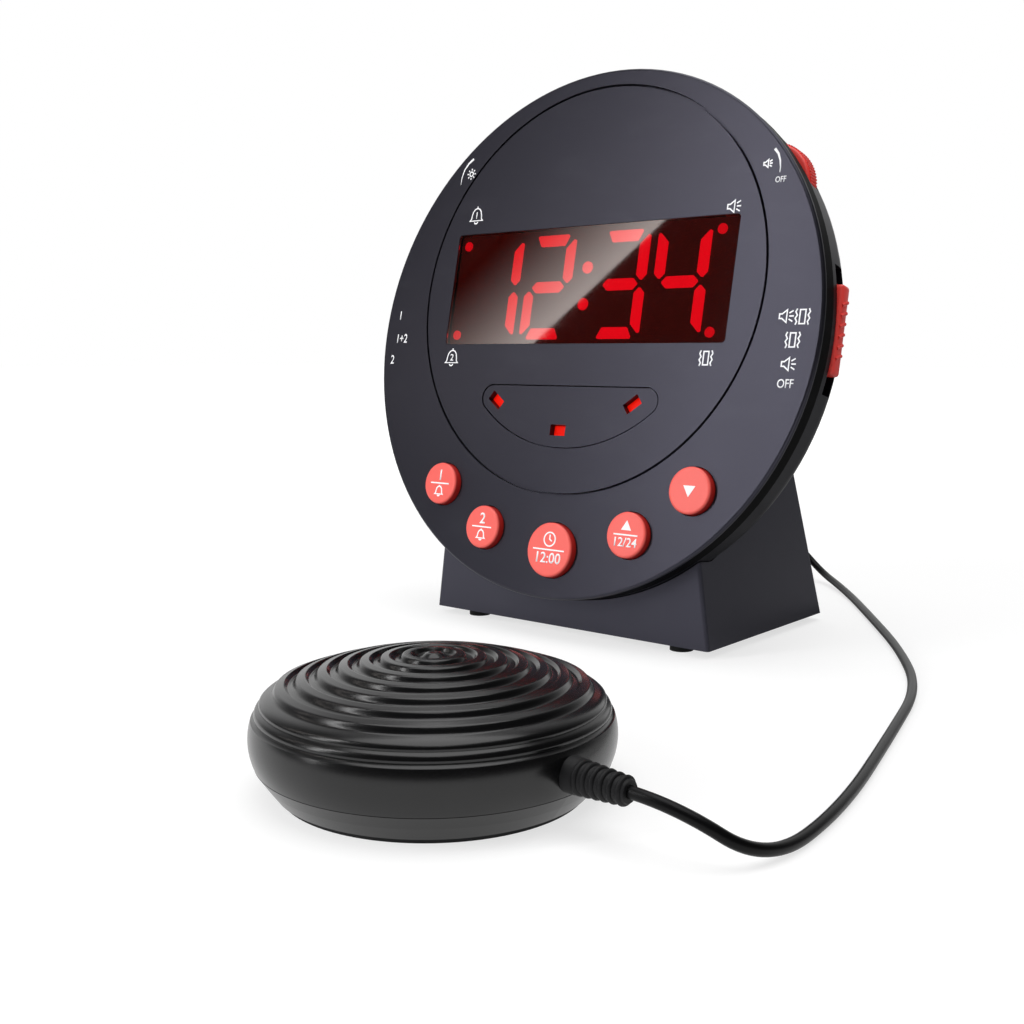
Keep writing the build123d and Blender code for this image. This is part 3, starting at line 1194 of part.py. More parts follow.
def build():
    """Every piece by name, in place."""
    nodes = {
        "front_bezel": FACE * front_bezel(),
        "trim_ring": FACE * trim_ring(),
        "face_panel": FACE * face_panel(),
        "alert_panel": FACE * alert_panel(),
        "alert_lights": FACE * alert_lights(),
        "display_lens": FACE * display_lens(),
        "display_module": FACE * display_module(),
        "digit_segments": FACE * digit_segments(),
        "indicator_dots": FACE * indicator_dots(),
        "main_board": FACE * main_board(),
        "board_screws": FACE * board_screws(),
        "key_board": FACE * key_board(),
        "key_switches": FACE * key_switches(),
        "rear_housing": FACE * rear_housing(),
        "housing_screws": FACE * housing_screws(),
        "speaker": FACE * speaker(),
        "volume_wheel": FACE * thumbwheel(),
        "volume_control": FACE * rotary_control(),
        "dimmer_wheel": FACE * mirrored(thumbwheel()),
        "dimmer_control": FACE * mirrored(rotary_control()),
        "mode_slider": FACE * slider_knob(),
        "mode_switch": FACE * slide_switch(),
        "alarm_slider": FACE * mirrored(slider_knob()),
        "alarm_switch": FACE * mirrored(slide_switch()),
        "snooze_bar": FACE * snooze_bar(),
        "snooze_switch": FACE * snooze_switch(),
        "stand": stand(),
        "stand_screws": FACE * stand_screws(),
        "base_plate": base_plate(),
        "base_screws": base_screws(),
        "battery_door": battery_door(),
        "backup_battery": backup_battery(),
        "battery_clip": battery_clip(),
        "rubber_feet": rubber_feet(),
        "dc_jack": dc_jack(),
        "shaker_jack": shaker_jack(),
        "shaker_plug": shaker_plug(),
        "shaker_cord": shaker_cord(),
        "strain_relief": SHAKER * strain_relief(),
        "shaker_top": SHAKER * shaker_top(),
        "shaker_base": SHAKER * shaker_base(),
        "shaker_sole": SHAKER * shaker_sole(),
        "shaker_screws": SHAKER * shaker_screws(),
        "shaker_motor": SHAKER * shaker_motor(),
        "motor_cradle": SHAKER * motor_cradle(),
        "eccentric_weight": SHAKER * eccentric_weight(),
    }
    for name, (angle, radius) in BUTTONS.items():
        nodes[name] = FACE * button(angle, radius)
    return nodes


def main():
    """Write one file for each piece and say how tightly the cord bends."""
    os.makedirs("parts", exist_ok=True)
    for name, shape in build().items():
        export_step(shape, f"parts/{name}.step")
    radii = ", ".join(f"{radius:.1f}" for radius in cord_corners(cord_points()))
    print(f"Cord bend radii in mm: {radii}")


if __name__ == "__main__":
    main()
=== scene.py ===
"""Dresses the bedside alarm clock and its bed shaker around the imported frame.

Sizes in the classes are millimetres, and what reaches Blender is metres. The face has a frame of its
own: u to the right of someone who reads it, v up the face and n straight out of it.
"""

from __future__ import annotations

import json
import logging
from dataclasses import dataclass, field
from enum import Enum
from math import atan2, cos, hypot, pi, radians, sin
from typing import Callable, ClassVar, Iterable, Protocol, Sequence

import bmesh
import bpy
from mathutils import Matrix, Vector

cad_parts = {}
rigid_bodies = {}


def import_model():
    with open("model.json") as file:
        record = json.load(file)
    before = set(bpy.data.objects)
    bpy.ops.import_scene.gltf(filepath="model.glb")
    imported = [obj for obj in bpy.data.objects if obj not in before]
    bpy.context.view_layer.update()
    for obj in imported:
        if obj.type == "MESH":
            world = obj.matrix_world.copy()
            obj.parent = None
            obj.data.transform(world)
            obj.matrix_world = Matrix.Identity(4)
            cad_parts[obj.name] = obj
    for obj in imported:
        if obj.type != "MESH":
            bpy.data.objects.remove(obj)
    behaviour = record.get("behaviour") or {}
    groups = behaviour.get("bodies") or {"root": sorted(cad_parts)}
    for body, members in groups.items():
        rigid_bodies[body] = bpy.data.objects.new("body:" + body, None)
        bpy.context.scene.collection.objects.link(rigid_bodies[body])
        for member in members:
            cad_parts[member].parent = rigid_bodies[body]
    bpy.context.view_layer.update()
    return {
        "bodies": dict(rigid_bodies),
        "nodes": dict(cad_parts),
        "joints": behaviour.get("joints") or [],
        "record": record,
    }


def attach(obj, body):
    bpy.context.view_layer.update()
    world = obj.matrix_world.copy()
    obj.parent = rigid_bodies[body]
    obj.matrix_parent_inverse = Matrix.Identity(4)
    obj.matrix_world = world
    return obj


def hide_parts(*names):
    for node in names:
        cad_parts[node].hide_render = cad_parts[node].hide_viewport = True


log = logging.getLogger("clock_scene")

MM = 0.001
CREASE_DEG = 38.0
DOUBLES_MM = 0.001

Point = tuple[float, float]
Point3 = tuple[float, float, float]
Span = tuple[float, float]
Colour = tuple[float, float, float, float]
Placer = Callable[[float, float], Point]
Mesh = bpy.types.Mesh
Material = bpy.types.Material
Node = bpy.types.Node
Socket = bpy.types.NodeSocket


class Body(str, Enum):
    """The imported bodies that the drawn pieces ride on."""

    CLOCK = "clock"
    ALARM_1 = "alarm_1_button"
    ALARM_2 = "alarm_2_button"
    TIME = "time_button"
    UP = "up_button"
    DOWN = "down_button"
    VOLUME = "volume_wheel"
    DIMMER = "dimmer_wheel"
    MODE = "mode_slider"
    ALARM_MODE = "alarm_slider"
    DOOR = "battery_door"


class Pictogram(Enum):
    """The plain signs that are printed on the face and the buttons."""

    BELL = "bell"
    SPEAKER = "speaker"
    SHAKE = "shake"
    DIAL = "dial"
    SUN = "sun"
    UP = "up"
    DOWN = "down"


class Flank(Enum):
    """The side of the clock that a wheel or slide knob sits on."""

    LEFT = -1
    RIGHT = 1


def linear(code: str) -> Colour:
    """Turns a web colour into Blender's linear terms.

    Args:
        code: The colour as a hash and six hexadecimal digits.

    Returns:
        Red, green, blue and a full alpha.
    """
    values = []
    for start in (1, 3, 5):
        value = int(code[start:start + 2], 16) / 255
        values.append(value / 12.92 if value <= 0.04045 else ((value + 0.055) / 1.055) ** 2.4)
    return values[0], values[1], values[2], 1.0


def turn_to(across: Vector, up: Vector, out: Vector) -> Matrix:
    """Gives the turn that takes X, Y and Z to three axes."""
    return Matrix((across, up, out)).transposed().to_4x4()


@dataclass(frozen=True)
class FaceFrame:
    """The leaning frame of the face."""

    centre: Point3 = (0.0, -22.031, 85.461)
    lean_deg: float = 12.0

    def matrix(self, u: float = 0.0, v: float = 0.0, n: float = 0.0) -> Matrix:
        """Gives the frame at a point of the face.

        Args:
            u: Millimetres to the right.
            v: Millimetres up the face.
            n: Millimetres out of the face.

        Returns:
            The matrix that takes local metres to the row frame.
        """
        lean = radians(self.lean_deg)
        across = Vector((1.0, 0.0, 0.0))
        up = Vector((0.0, sin(lean), cos(lean)))
        out = Vector((0.0, -cos(lean), sin(lean)))
        shift = Matrix.Translation(Vector((u, v, n)) * MM)
        return Matrix.Translation(Vector(self.centre) * MM) @ turn_to(across, up, out) @ shift


FACE = FaceFrame()


# Shader tools


class Wiring:
    """Adds nodes to a tree and links them."""

    COLUMN_WIDTH: ClassVar[float] = 180.0

    def __init__(self, tree: bpy.types.NodeTree) -> None:
        """Starts on an empty tree."""
        self.tree = tree
        self.column = 0

    def add(self, kind: str, **settings: object) -> Node:
        """Adds one node.

        Args:
            kind: The node's type name.
            **settings: Properties to set on it.

        Returns:
            The new node.
        """
        node = self.tree.nodes.new(kind)
        node.location = (self.column * self.COLUMN_WIDTH, 0.0)
        self.column += 1
        for key, value in settings.items():
            setattr(node, key, value)
        return node

    def feed(self, target: Socket, source: object) -> None:
        """Links a socket to another one, or sets its plain value.

        Args:
            target: The socket that is fed.
            source: Another socket or a plain value.
        """
        if isinstance(source, Socket):
            self.tree.links.new(source, target)
        else:
            target.default_value = source

    def fill(self, node: Node, **inputs: object) -> Node:
        """Feeds a node's inputs by name, where an underscore stands for a space.

        Args:
            node: The node.
            **inputs: Sockets or plain values.

        Returns:
            The same node.
        """
        for label, value in inputs.items():
            self.feed(node.inputs[label.replace("_", " ")], value)
        return node

    def node(self, kind: str, settings: dict[str, object] | None = None, **inputs: object) -> Node:
        """Adds a node with its properties and feeds its inputs by name."""
        return self.fill(self.add(kind, **(settings or {})), **inputs)

    def group(self, tree: bpy.types.NodeTree, **inputs: object) -> Node:
        """Places a shader group and feeds its inputs by name."""
        return self.node("ShaderNodeGroup", {"node_tree": tree}, **inputs)

    def coordinates(self) -> Socket:
        """Gives the object coordinates."""
        return self.add("ShaderNodeTexCoord").outputs["Object"]

    def math(self, operation: str, first: object, second: object = 0.0) -> Socket:
        """Adds a math node.

        Args:
            operation: What it does, as Blender names it.
            first: A socket or a number.
            second: A socket or a number.

        Returns:
            The result's socket.
        """
        node = self.add("ShaderNodeMath", operation=operation)
        self.feed(node.inputs[0], first)
        self.feed(node.inputs[1], second)
        return node.outputs[0]

    def along(self, place: Socket, axis: Sequence[float]) -> Socket:
        """Gives how far a place lies along an axis.

        Args:
            place: The coordinates.
            axis: The axis, one unit long.

        Returns:
            The distance's socket.
        """
        node = self.add("ShaderNodeVectorMath", operation="DOT_PRODUCT")
        self.feed(node.inputs[0], place)
        node.inputs[1].default_value = axis
        return node.outputs["Value"]

    def noise(self, place: object, scale: object, detail: float, stretch: Point3 | None = None) -> Socket:
        """Adds a noise texture.

        Args:
            place: The coordinates.
            scale: Its scale in repeats to the metre.
            detail: How many finer layers it has.
            stretch: Scales each axis first, where given.

        Returns:
            The noise value's socket.
        """
        if stretch is not None:
            place = self.node("ShaderNodeMapping", Vector=place, Scale=stretch).outputs["Vector"]
        return self.node("ShaderNodeTexNoise", Vector=place, Scale=scale, Detail=detail).outputs["Fac"]

    def spread(self, source: object, span: Span, low: float, high: float) -> Socket:
        """Maps a span of values to another one and holds the ends.

        Args:
            source: The value.
            span: Where it starts and ends.
            low: The result at the span's start.
            high: The result at the span's end.

        Returns:
            The result's socket.
        """
        node = self.node(
            "ShaderNodeMapRange", Value=source, From_Min=span[0], From_Max=span[1], To_Min=low, To_Max=high,
        )
        return node.outputs["Result"]

    def blend(self, share: object, first: object, second: object) -> Socket:
        """Mixes two colours.

        Args:
            share: How much of the second one shows.
            first: A colour or its socket.
            second: A colour or its socket.

        Returns:
            The mixed colour's socket.
        """
        node = self.add("ShaderNodeMix", data_type="RGBA")
        for index, source in ((0, share), (6, first), (7, second)):
            self.feed(node.inputs[index], source)
        return node.outputs[2]


class Effects:
    """The shader groups that several finishes share."""

    FINE_DETAIL: ClassVar[float] = 3.0
    FINE_SHARE: ClassVar[float] = 0.6
    BROAD_SCALE: ClassVar[float] = 30.0
    BROAD_DETAIL: ClassVar[float] = 4.0
    MEAN_SWAY: ClassVar[float] = 0.8
    ROUGHNESS_SWAY: ClassVar[float] = 0.05
    SMEAR_SCALE: ClassVar[float] = 55.0
    SMEAR_DETAIL: ClassVar[float] = 5.0
    SMEAR_STRETCH: ClassVar[Point3] = (1.0, 1.0, 2.2)
    SMEAR_SPAN: ClassVar[Span] = (0.55, 0.78)
    SPECK_SCALE: ClassVar[float] = 900.0
    SPECK_DETAIL: ClassVar[float] = 2.0
    SPECK_SPAN: ClassVar[Span] = (0.68, 0.8)
    SPECK_STRENGTH: ClassVar[float] = 0.7

    def __init__(self) -> None:
        """Builds each group once."""
        self.skin = self._skin()
        self.handling = self._handling()

    @staticmethod
    def _open(name: str, inputs: dict[str, str], outputs: dict[str, str]) -> tuple[Wiring, Node, Node]:
        """Starts a group with its sockets.

        Args:
            name: The group's name.
            inputs: Socket types by name.
            outputs: Socket types by name.

        Returns:
            The wiring, the input node and the output node.
        """
        tree = bpy.data.node_groups.new(name, "ShaderNodeTree")
        for way, sockets in (("INPUT", inputs), ("OUTPUT", outputs)):
            for label, kind in sockets.items():
                tree.interface.new_socket(label, in_out=way, socket_type=kind)
        wiring = Wiring(tree)
        return wiring, wiring.add("NodeGroupInput"), wiring.add("NodeGroupOutput")

    def _skin(self) -> bpy.types.NodeTree:
        """Builds the fine spark-eroded skin of a moulding, a little uneven in tone.

        Returns:
            The group.
        """
        value = "NodeSocketFloat"
        colour = "NodeSocketColor"
        wiring, entry, leave = self._open(
            "moulded_skin",
            {
                "Coordinates": "NodeSocketVector",
                "Colour": colour,
                "Unevenness": value,
                "Grain": value,
                "Roughness": value,
            },
            {"Colour": colour, "Roughness": value, "Height": value},
        )
        given = entry.outputs
        fine = wiring.noise(given["Coordinates"], given["Grain"], self.FINE_DETAIL)
        broad = wiring.noise(given["Coordinates"], self.BROAD_SCALE, self.BROAD_DETAIL)
        both = wiring.math("ADD", wiring.math("MULTIPLY", fine, self.FINE_SHARE), broad)
        sway = wiring.math("SUBTRACT", both, self.MEAN_SWAY)
        gain = wiring.math("ADD", wiring.math("MULTIPLY", sway, given["Unevenness"]), 1.0)
        toned = wiring.add("ShaderNodeVectorMath", operation="SCALE")
        wiring.feed(toned.inputs[0], given["Colour"])
        wiring.feed(toned.inputs["Scale"], gain)
        rough = wiring.math("ADD", wiring.math("MULTIPLY", sway, self.ROUGHNESS_SWAY), given["Roughness"])
        wiring.fill(leave, Colour=toned.outputs[0], Roughness=rough, Height=fine)
        return wiring.tree

    def _handling(self) -> bpy.types.NodeTree:
        """Builds faint marks of dust and handling.

        Returns:
            The group.
        """
        value = "NodeSocketFloat"
        wiring, entry, leave = self._open(
            "handling_marks", {"Coordinates": "NodeSocketVector", "Amount": value}, {"Mask": value},
        )
        place = entry.outputs["Coordinates"]
        smear = wiring.noise(place, self.SMEAR_SCALE, self.SMEAR_DETAIL, self.SMEAR_STRETCH)
        speck = wiring.noise(place, self.SPECK_SCALE, self.SPECK_DETAIL)
        smeared = wiring.spread(smear, self.SMEAR_SPAN, 0.0, 1.0)
        specked = wiring.spread(speck, self.SPECK_SPAN, 0.0, self.SPECK_STRENGTH)
        total = wiring.math("MAXIMUM", smeared, specked)
        wiring.fill(leave, Mask=wiring.math("MULTIPLY", total, entry.outputs["Amount"]))
        return wiring.tree


class Finish(Protocol):
    """What every finish offers."""

    name: str

    def make(self, effects: Effects) -> Material:
        """Builds the material."""


def bare_wiring(owner: Material | bpy.types.World) -> Wiring:
    """Empties the nodes of a material or a world.

    Args:
        owner: The material or the world.

    Returns:
        The wiring of its tree.
    """
    owner.use_nodes = True
    owner.node_tree.nodes.clear()
    return Wiring(owner.node_tree)


def new_surface(name: str) -> tuple[Material, Wiring, Node, Socket]:
    """Starts a material with a shader and its object coordinates.

    Args:
        name: The material's name.

    Returns:
        The material, its wiring, the shader and the coordinates' socket.
    """
    material = bpy.data.materials.new(name)
    wiring = bare_wiring(material)
    shader = wiring.add("ShaderNodeBsdfPrincipled")
    wiring.node("ShaderNodeOutputMaterial", Surface=shader.outputs["BSDF"])
    return material, wiring, shader, wiring.coordinates()


@dataclass(frozen=True)
class MouldedFinish:
    """A moulded plastic or rubber with a fine skin and faint handling marks."""

    name: str
    colour: str
    roughness: float = 0.5
    specular: float = 0.5
    grain_mm: float = 0.4
    grain_depth_mm: float = 0.02
    grain_strength: float = 0.35
    unevenness: float = 0.12
    marks: float = 0.12
    mark_colour: str = "#8a8a90"
    sheen_tint: Point3 = (1.0, 1.0, 1.0)
    # Emission for a part that is no lamp, which is painted light.
    glow: float = 0.0

    def tone(self, wiring: Wiring, place: Socket) -> object:
        """Gives the colour before the skin's unevenness."""
        return linear(self.colour)

    def make(self, effects: Effects) -> Material:
        """Builds the material.

        Args:
            effects: The shared groups.

        Returns:
            The material.
        """
        material, wiring, shader, place = new_surface(self.name)
        skin = wiring.group(
            effects.skin, Coordinates=place, Colour=self.tone(wiring, place), Unevenness=self.unevenness,
            Grain=1 / (self.grain_mm * MM), Roughness=self.roughness,
        ).outputs
        marks = wiring.group(effects.handling, Coordinates=place, Amount=self.marks)
        bump = wiring.node(
            "ShaderNodeBump", Strength=self.grain_strength, Distance=self.grain_depth_mm * MM,
            Height=skin["Height"],
        )
        wiring.fill(
            shader,
            Base_Color=wiring.blend(marks.outputs["Mask"], skin["Colour"], linear(self.mark_colour)),
            Roughness=skin["Roughness"],
            Specular_IOR_Level=self.specular,
            Specular_Tint=(*self.sheen_tint, 1.0),
            Normal=bump.outputs["Normal"],
        )
        # A set glow is painted light: the part emits its own colour though it is no lamp.
        if self.glow:
            wiring.fill(shader, Emission_Color=skin["Colour"], Emission_Strength=self.glow)
        return material


@dataclass(frozen=True)
class BandedFinish(MouldedFinish):
    """A moulded plastic whose front part, down to a depth behind the face, has another tone, painted as
    light and shade: the housing's nearly black front band and the buttons' darker sides are painted shade.
    """

    # The defaults are the housing's front band, a nearly black colour painted as shade under the rim.
    band_colour: str = "#101013"
    band_back_mm: float = 14.4
    band_soft_mm: float = 0.1

    def tone(self, wiring: Wiring, place: Socket) -> object:
        """Gives the band's colour in front and the plain colour behind, split by depth to paint shade.

        Args:
            wiring: The material's wiring.
            place: The object coordinates.

        Returns:
            The colour's socket.
        """
        out = FACE.matrix().col[2].to_3d()
        level = out.dot(FACE.matrix().translation) - self.band_back_mm * MM
        soft = self.band_soft_mm * MM
        share = wiring.spread(wiring.along(place, out), (level - soft, level + soft), 0.0, 1.0)
        return wiring.blend(share, linear(self.colour), linear(self.band_colour))


@dataclass(frozen=True)
class WindowFinish:
    """The deep red acrylic in front of the digits, with faint smears in its gloss."""

    name: str
    colour: str
    roughness: float = 0.03
    ior: float = 1.75
    smears: float = 0.03

    def make(self, effects: Effects) -> Material:
        """Builds the material.

        Args:
            effects: The shared groups.

        Returns:
            The material.
        """
        material, wiring, shader, place = new_surface(self.name)
        marks = wiring.group(effects.handling, Coordinates=place, Amount=self.smears)
        rough = wiring.math("ADD", marks.outputs["Mask"], self.roughness)
        wiring.fill(
            shader, Base_Color=linear(self.colour), Transmission_Weight=1.0, IOR=self.ior, Roughness=rough,
        )
        return material


@dataclass(frozen=True)
class LampFinish:
    """Plastic that is lit from behind, a little uneven."""

    name: str
    colour: str
    strength: float
    unevenness: float = 0.18
    grain_scale: float = 700.0
    roughness: float = 0.35
    specular: float = 0.05

    def make(self, effects: Effects) -> Material:
        """Builds the material.

        Args:
            effects: The shared groups.

        Returns:
            The material.
        """
        material, wiring, shader, place = new_surface(self.name)
        skin = wiring.group(
            effects.skin, Coordinates=place, Colour=linear(self.colour), Unevenness=self.unevenness,
            Grain=self.grain_scale, Roughness=self.roughness,
        ).outputs
        wiring.fill(
            shader, Base_Color=skin["Colour"], Roughness=skin["Roughness"], Emission_Color=skin["Colour"],
            Emission_Strength=self.strength, Specular_IOR_Level=self.specular,
        )
        return material


@dataclass(frozen=True)
class MetalFinish:
    """A plated or drawn metal with fine lines along one axis."""

    name: str
    colour: str
    roughness: Span = (0.22, 0.4)
    lines: Point3 = (1.0, 1.0, 12.0)
    line_scale: float = 900.0
    line_detail: float = 2.0
    line_span: Span = (0.3, 0.7)
    marks: float = 0.25
    dulled: float = 0.7

    def make(self, effects: Effects) -> Material:
        """Builds the material.

        Args:
            effects: The shared groups.

        Returns:
            The material.
        """
        material, wiring, shader, place = new_surface(self.name)
        marks = wiring.group(effects.handling, Coordinates=place, Amount=self.marks)
        drawn = wiring.noise(place, self.line_scale, self.line_detail, self.lines)
        rough = wiring.spread(drawn, self.line_span, *self.roughness)
        bright = linear(self.colour)
        dull = (*(part * self.dulled for part in bright[:3]), 1.0)
        tone = wiring.blend(marks.outputs["Mask"], bright, dull)
        wiring.fill(shader, Base_Color=tone, Roughness=rough, Metallic=1.0)
        return material


@dataclass(frozen=True)
class BoardFinish:
    """A circuit board with its tracks under the solder mask."""

    name: str
    colour: str
    track_colour: str
    track_scale: float = 260.0
    track_width: float = 0.06
    unevenness: float = 0.2
    grain_scale: float = 1500.0
    roughness: float = 0.4

    def make(self, effects: Effects) -> Material:
        """Builds the material.

        Args:
            effects: The shared groups.

        Returns:
            The material.
        """
        material, wiring, shader, place = new_surface(self.name)
        tracks = wiring.node(
            "ShaderNodeTexBrick", Vector=place, Scale=self.track_scale, Mortar_Size=self.track_width,
        )
        skin = wiring.group(
            effects.skin, Coordinates=place, Colour=linear(self.colour), Unevenness=self.unevenness,
            Grain=self.grain_scale, Roughness=self.roughness,
        ).outputs
        tone = wiring.blend(tracks.outputs["Fac"], skin["Colour"], linear(self.track_colour))
        wiring.fill(shader, Base_Color=tone, Roughness=skin["Roughness"])
        return material


class Palette:
    """Every finish of the clock by name, built once each."""

    SLATE_SHEEN: ClassVar[Point3] = (0.78, 0.76, 1.0)
    SLATE: ClassVar[dict[str, object]] = {
        "roughness": 0.33,
        "specular": 0.59,
        "grain_mm": 0.45,
        "grain_depth_mm": 0.004,
        "unevenness": 0.06,
        "marks": 0.02,
        "sheen_tint": SLATE_SHEEN,
    }
    FINISHES: ClassVar[tuple[Finish, ...]] = (
        MouldedFinish("slate_plastic", "#151519", **SLATE),
        MouldedFinish("alert_plastic", "#151519", **SLATE),
        # The stand is the face's slate plastic; its lighter base colour is painted light that brightens its
        # front.
        MouldedFinish(
            "stand_plastic", "#2e2e35", roughness=0.38, specular=0.6, grain_mm=0.45, grain_depth_mm=0.008,
            unevenness=0.06, marks=0.02, sheen_tint=SLATE_SHEEN,
        ),
        # The housing is the face's slate plastic: its lighter colour behind is painted light, and its nearly
        # black front band is painted shade under the rim.
        BandedFinish(
            "housing_plastic", "#3a3a42", roughness=0.4, specular=0.22, grain_mm=0.45, grain_depth_mm=0.01,
            unevenness=0.08, marks=0.03, sheen_tint=SLATE_SHEEN,
        ),
        MouldedFinish(
            "trim_black", "#050506", specular=0.04, grain_mm=0.6, grain_depth_mm=0.006, marks=0.02,
        ),
        MouldedFinish("inner_black", "#141416", roughness=0.6, specular=0.3, marks=0.04),
        MouldedFinish("snooze_plastic", "#1f1f24", roughness=0.42, marks=0.03),
        # The caps are coral only on their fronts; their sides are painted a darker red as shade.
        BandedFinish(
            "button_coral", "#cb2a24", roughness=0.4, grain_depth_mm=0.008, unevenness=0.06, marks=0.03,
            mark_colour="#ff9088", band_colour="#f8635a", band_back_mm=-1.7, band_soft_mm=0.35,
        ),
        MouldedFinish(
            "control_red", "#ff463f", roughness=0.36, grain_depth_mm=0.008, unevenness=0.08, marks=0.04,
            mark_colour="#ff8078",
        ),
        WindowFinish("window_acrylic", "#9a2a20"),
        LampFinish("digit_glow", "#f00078", 2.6),
        LampFinish("dot_glow", "#f00078", 2.0),
        LampFinish("alert_glow", "#cc1206", 0.7),
        # The display module glows: painted light that stands in for the light reaching it through the red
        # window.
        MouldedFinish("display_deep_red", "#1e0402", roughness=0.6, glow=0.7, marks=0.0),
        BoardFinish("board_green", "#0f4a26", "#2c7a44"),
        MetalFinish("screw_steel", "#b9bbc0"),
        MetalFinish("motor_steel", "#a8aaae"),
        MetalFinish("weight_brass", "#c9a85a"),
        MouldedFinish("speaker_black", "#17171a", specular=0.6),
        MouldedFinish("battery_wrap", "#34343a", roughness=0.3),
        MouldedFinish("foot_rubber", "#121214", roughness=0.6, specular=0.3, grain_mm=0.3, marks=0.04),
        MouldedFinish(
            "shaker_black", "#0b0b0c", roughness=0.24, grain_mm=0.35, grain_depth_mm=0.006, unevenness=0.08,
            marks=0.02,
        ),
        MouldedFinish(
            "cord_black", "#0a0a0b", roughness=0.35, specular=0.15, grain_mm=0.8, grain_depth_mm=0.006,
            marks=0.03,
        ),
        # The white print glows a little: painted light that brightens it beyond its lighting.
        MouldedFinish(
            "print_white", "#f2f2f4", roughness=0.55, grain_depth_mm=0.004, unevenness=0.05, marks=0.0,
            glow=0.12,
        ),
    )

    def __init__(self) -> None:
        """Builds the shared effects and every material."""
        effects = Effects()
        self.materials = {finish.name: finish.make(effects) for finish in self.FINISHES}

    def __getitem__(self, name: str) -> Material:
        """Gives one material by its finish's name."""
        return self.materials[name]


# Mesh tools


def put(name: str, data: bpy.types.ID) -> bpy.types.Object:
    """Puts an object into the scene.

    Args:
        name: Its name.
        data: Its mesh, curve, lamp or camera.

    Returns:
        The object.
    """
    item = bpy.data.objects.new(name, data)
    bpy.context.scene.collection.objects.link(item)
    return item


def plain_mesh(holder: bpy.types.Object) -> Mesh:
    """Gives an object's evaluated shape as a plain mesh and removes the object.

    Args:
        holder: The object.

    Returns:
        The plain mesh.
    """
    bpy.context.view_layer.update()
    graph = bpy.context.evaluated_depsgraph_get()
    mesh = bpy.data.meshes.new_from_object(holder.evaluated_get(graph))
    bpy.data.objects.remove(holder)
    return mesh


def close_mesh(name: str, work: bmesh.types.BMesh) -> Mesh:
    """Turns a finished working mesh into a mesh and frees it.

    Args:
        name: The mesh's name.
        work: The working mesh.

    Returns:
        The mesh.
    """
    mesh = bpy.data.meshes.new(name)
    work.to_mesh(mesh)
    work.free()
    return mesh


def tidy_mesh(mesh: Mesh, merge_mm: float = DOUBLES_MM) -> Mesh:
    """Merges doubles, points the faces outwards and shades them smooth up to a crease.

    Args:
        mesh: The mesh in millimetres.
        merge_mm: Points nearer than this become one.

    Returns:
        The same mesh.
    """
    work = bmesh.new()
    work.from_mesh(mesh)
    bmesh.ops.remove_doubles(work, verts=work.verts, dist=merge_mm)
    bmesh.ops.dissolve_degenerate(work, edges=work.edges, dist=merge_mm / 10)
    bmesh.ops.recalc_face_normals(work, faces=work.faces)
    crease = radians(CREASE_DEG)
    for face in work.faces:
        face.smooth = True
    for edge in work.edges:
        edge.smooth = len(edge.link_faces) == 2 and edge.calc_face_angle(0.0) < crease
    work.to_mesh(mesh)
    work.free()
    return mesh


def circle(radius: float, steps: int) -> list[Point]:
    """Gives the points of a circle about the origin."""
    turns = [2 * pi * step / steps for step in range(steps)]
    return [(radius * cos(turn), radius * sin(turn)) for turn in turns]


def lathe(name: str, profile: Sequence[Point], steps: int) -> Mesh:
    """Turns an outline about Z.

    Args:
        name: The mesh's name.
        profile: Radius and height, in order, from axis to axis.
        steps: How many sides the turn has.

    Returns:
        The mesh in millimetres.
    """
    verts = []
    for step in range(steps):
        turn = 2 * pi * step / steps
        verts += [(radius * cos(turn), radius * sin(turn), height) for radius, height in profile]
    count = len(profile)
    faces = []
    for step in range(steps):
        here = step * count
        there = (step + 1) % steps * count
        for index in range(count - 1):
            faces.append((here + index, there + index, there + index + 1, here + index + 1))
    mesh = bpy.data.meshes.new(name)
    mesh.from_pydata(verts, [], faces)
    return tidy_mesh(mesh)


def arc_through(start: Point, middle: Point, end: Point, steps: int) -> list[Point]:
    """Gives points on the arc through three points.

    Args:
        start: Where it begins.
        middle: A point on its way.
        end: Where it ends.
        steps: How many runs it is cut into.

    Returns:
        The points, both ends included.
    """
    (ax, ay), (bx, by), (cx, cy) = start, middle, end
    twice = 2 * (ax * (by - cy) + bx * (cy - ay) + cx * (ay - by))
    a2, b2, c2 = ax * ax + ay * ay, bx * bx + by * by, cx * cx + cy * cy
    ox = (a2 * (by - cy) + b2 * (cy - ay) + c2 * (ay - by)) / twice
    oy = (a2 * (cx - bx) + b2 * (ax - cx) + c2 * (bx - ax)) / twice
    radius = hypot(ax - ox, ay - oy)
    first = atan2(ay - oy, ax - ox)
    sweep = atan2(cy - oy, cx - ox) - first
    turns = [first + sweep * step / steps for step in range(steps + 1)]
    return [(ox + radius * cos(turn), oy + radius * sin(turn)) for turn in turns]


def rounded_block(name: str, size: Point3, edge: float, segments: int = 3) -> Mesh:
    """Makes a block with rounded edges about its middle.

    Args:
        name: The mesh's name.
        size: Its length along each axis.
        edge: The radius of its edges.
        segments: How many runs each rounding has.

    Returns:
        The mesh in millimetres.
    """
    work = bmesh.new()
    bmesh.ops.create_cube(work, size=1.0)
    bmesh.ops.scale(work, vec=size, verts=work.verts)
    bmesh.ops.bevel(work, geom=work.edges[:], offset=edge, segments=segments, profile=0.5, affect="EDGES")
    return tidy_mesh(close_mesh(name, work))


def merged(name: str, parts: Iterable[tuple[Mesh, Matrix]]) -> Mesh:
    """Joins meshes into one, each moved to its own place, and frees them.

    Args:
        name: The new mesh's name.
        parts: The meshes and their places, in millimetres.

    Returns:
        The joined mesh.
    """
    work = bmesh.new()
    for part, place in parts:
        part.transform(place)
        work.from_mesh(part)
        bpy.data.meshes.remove(part)
    return close_mesh(name, work)


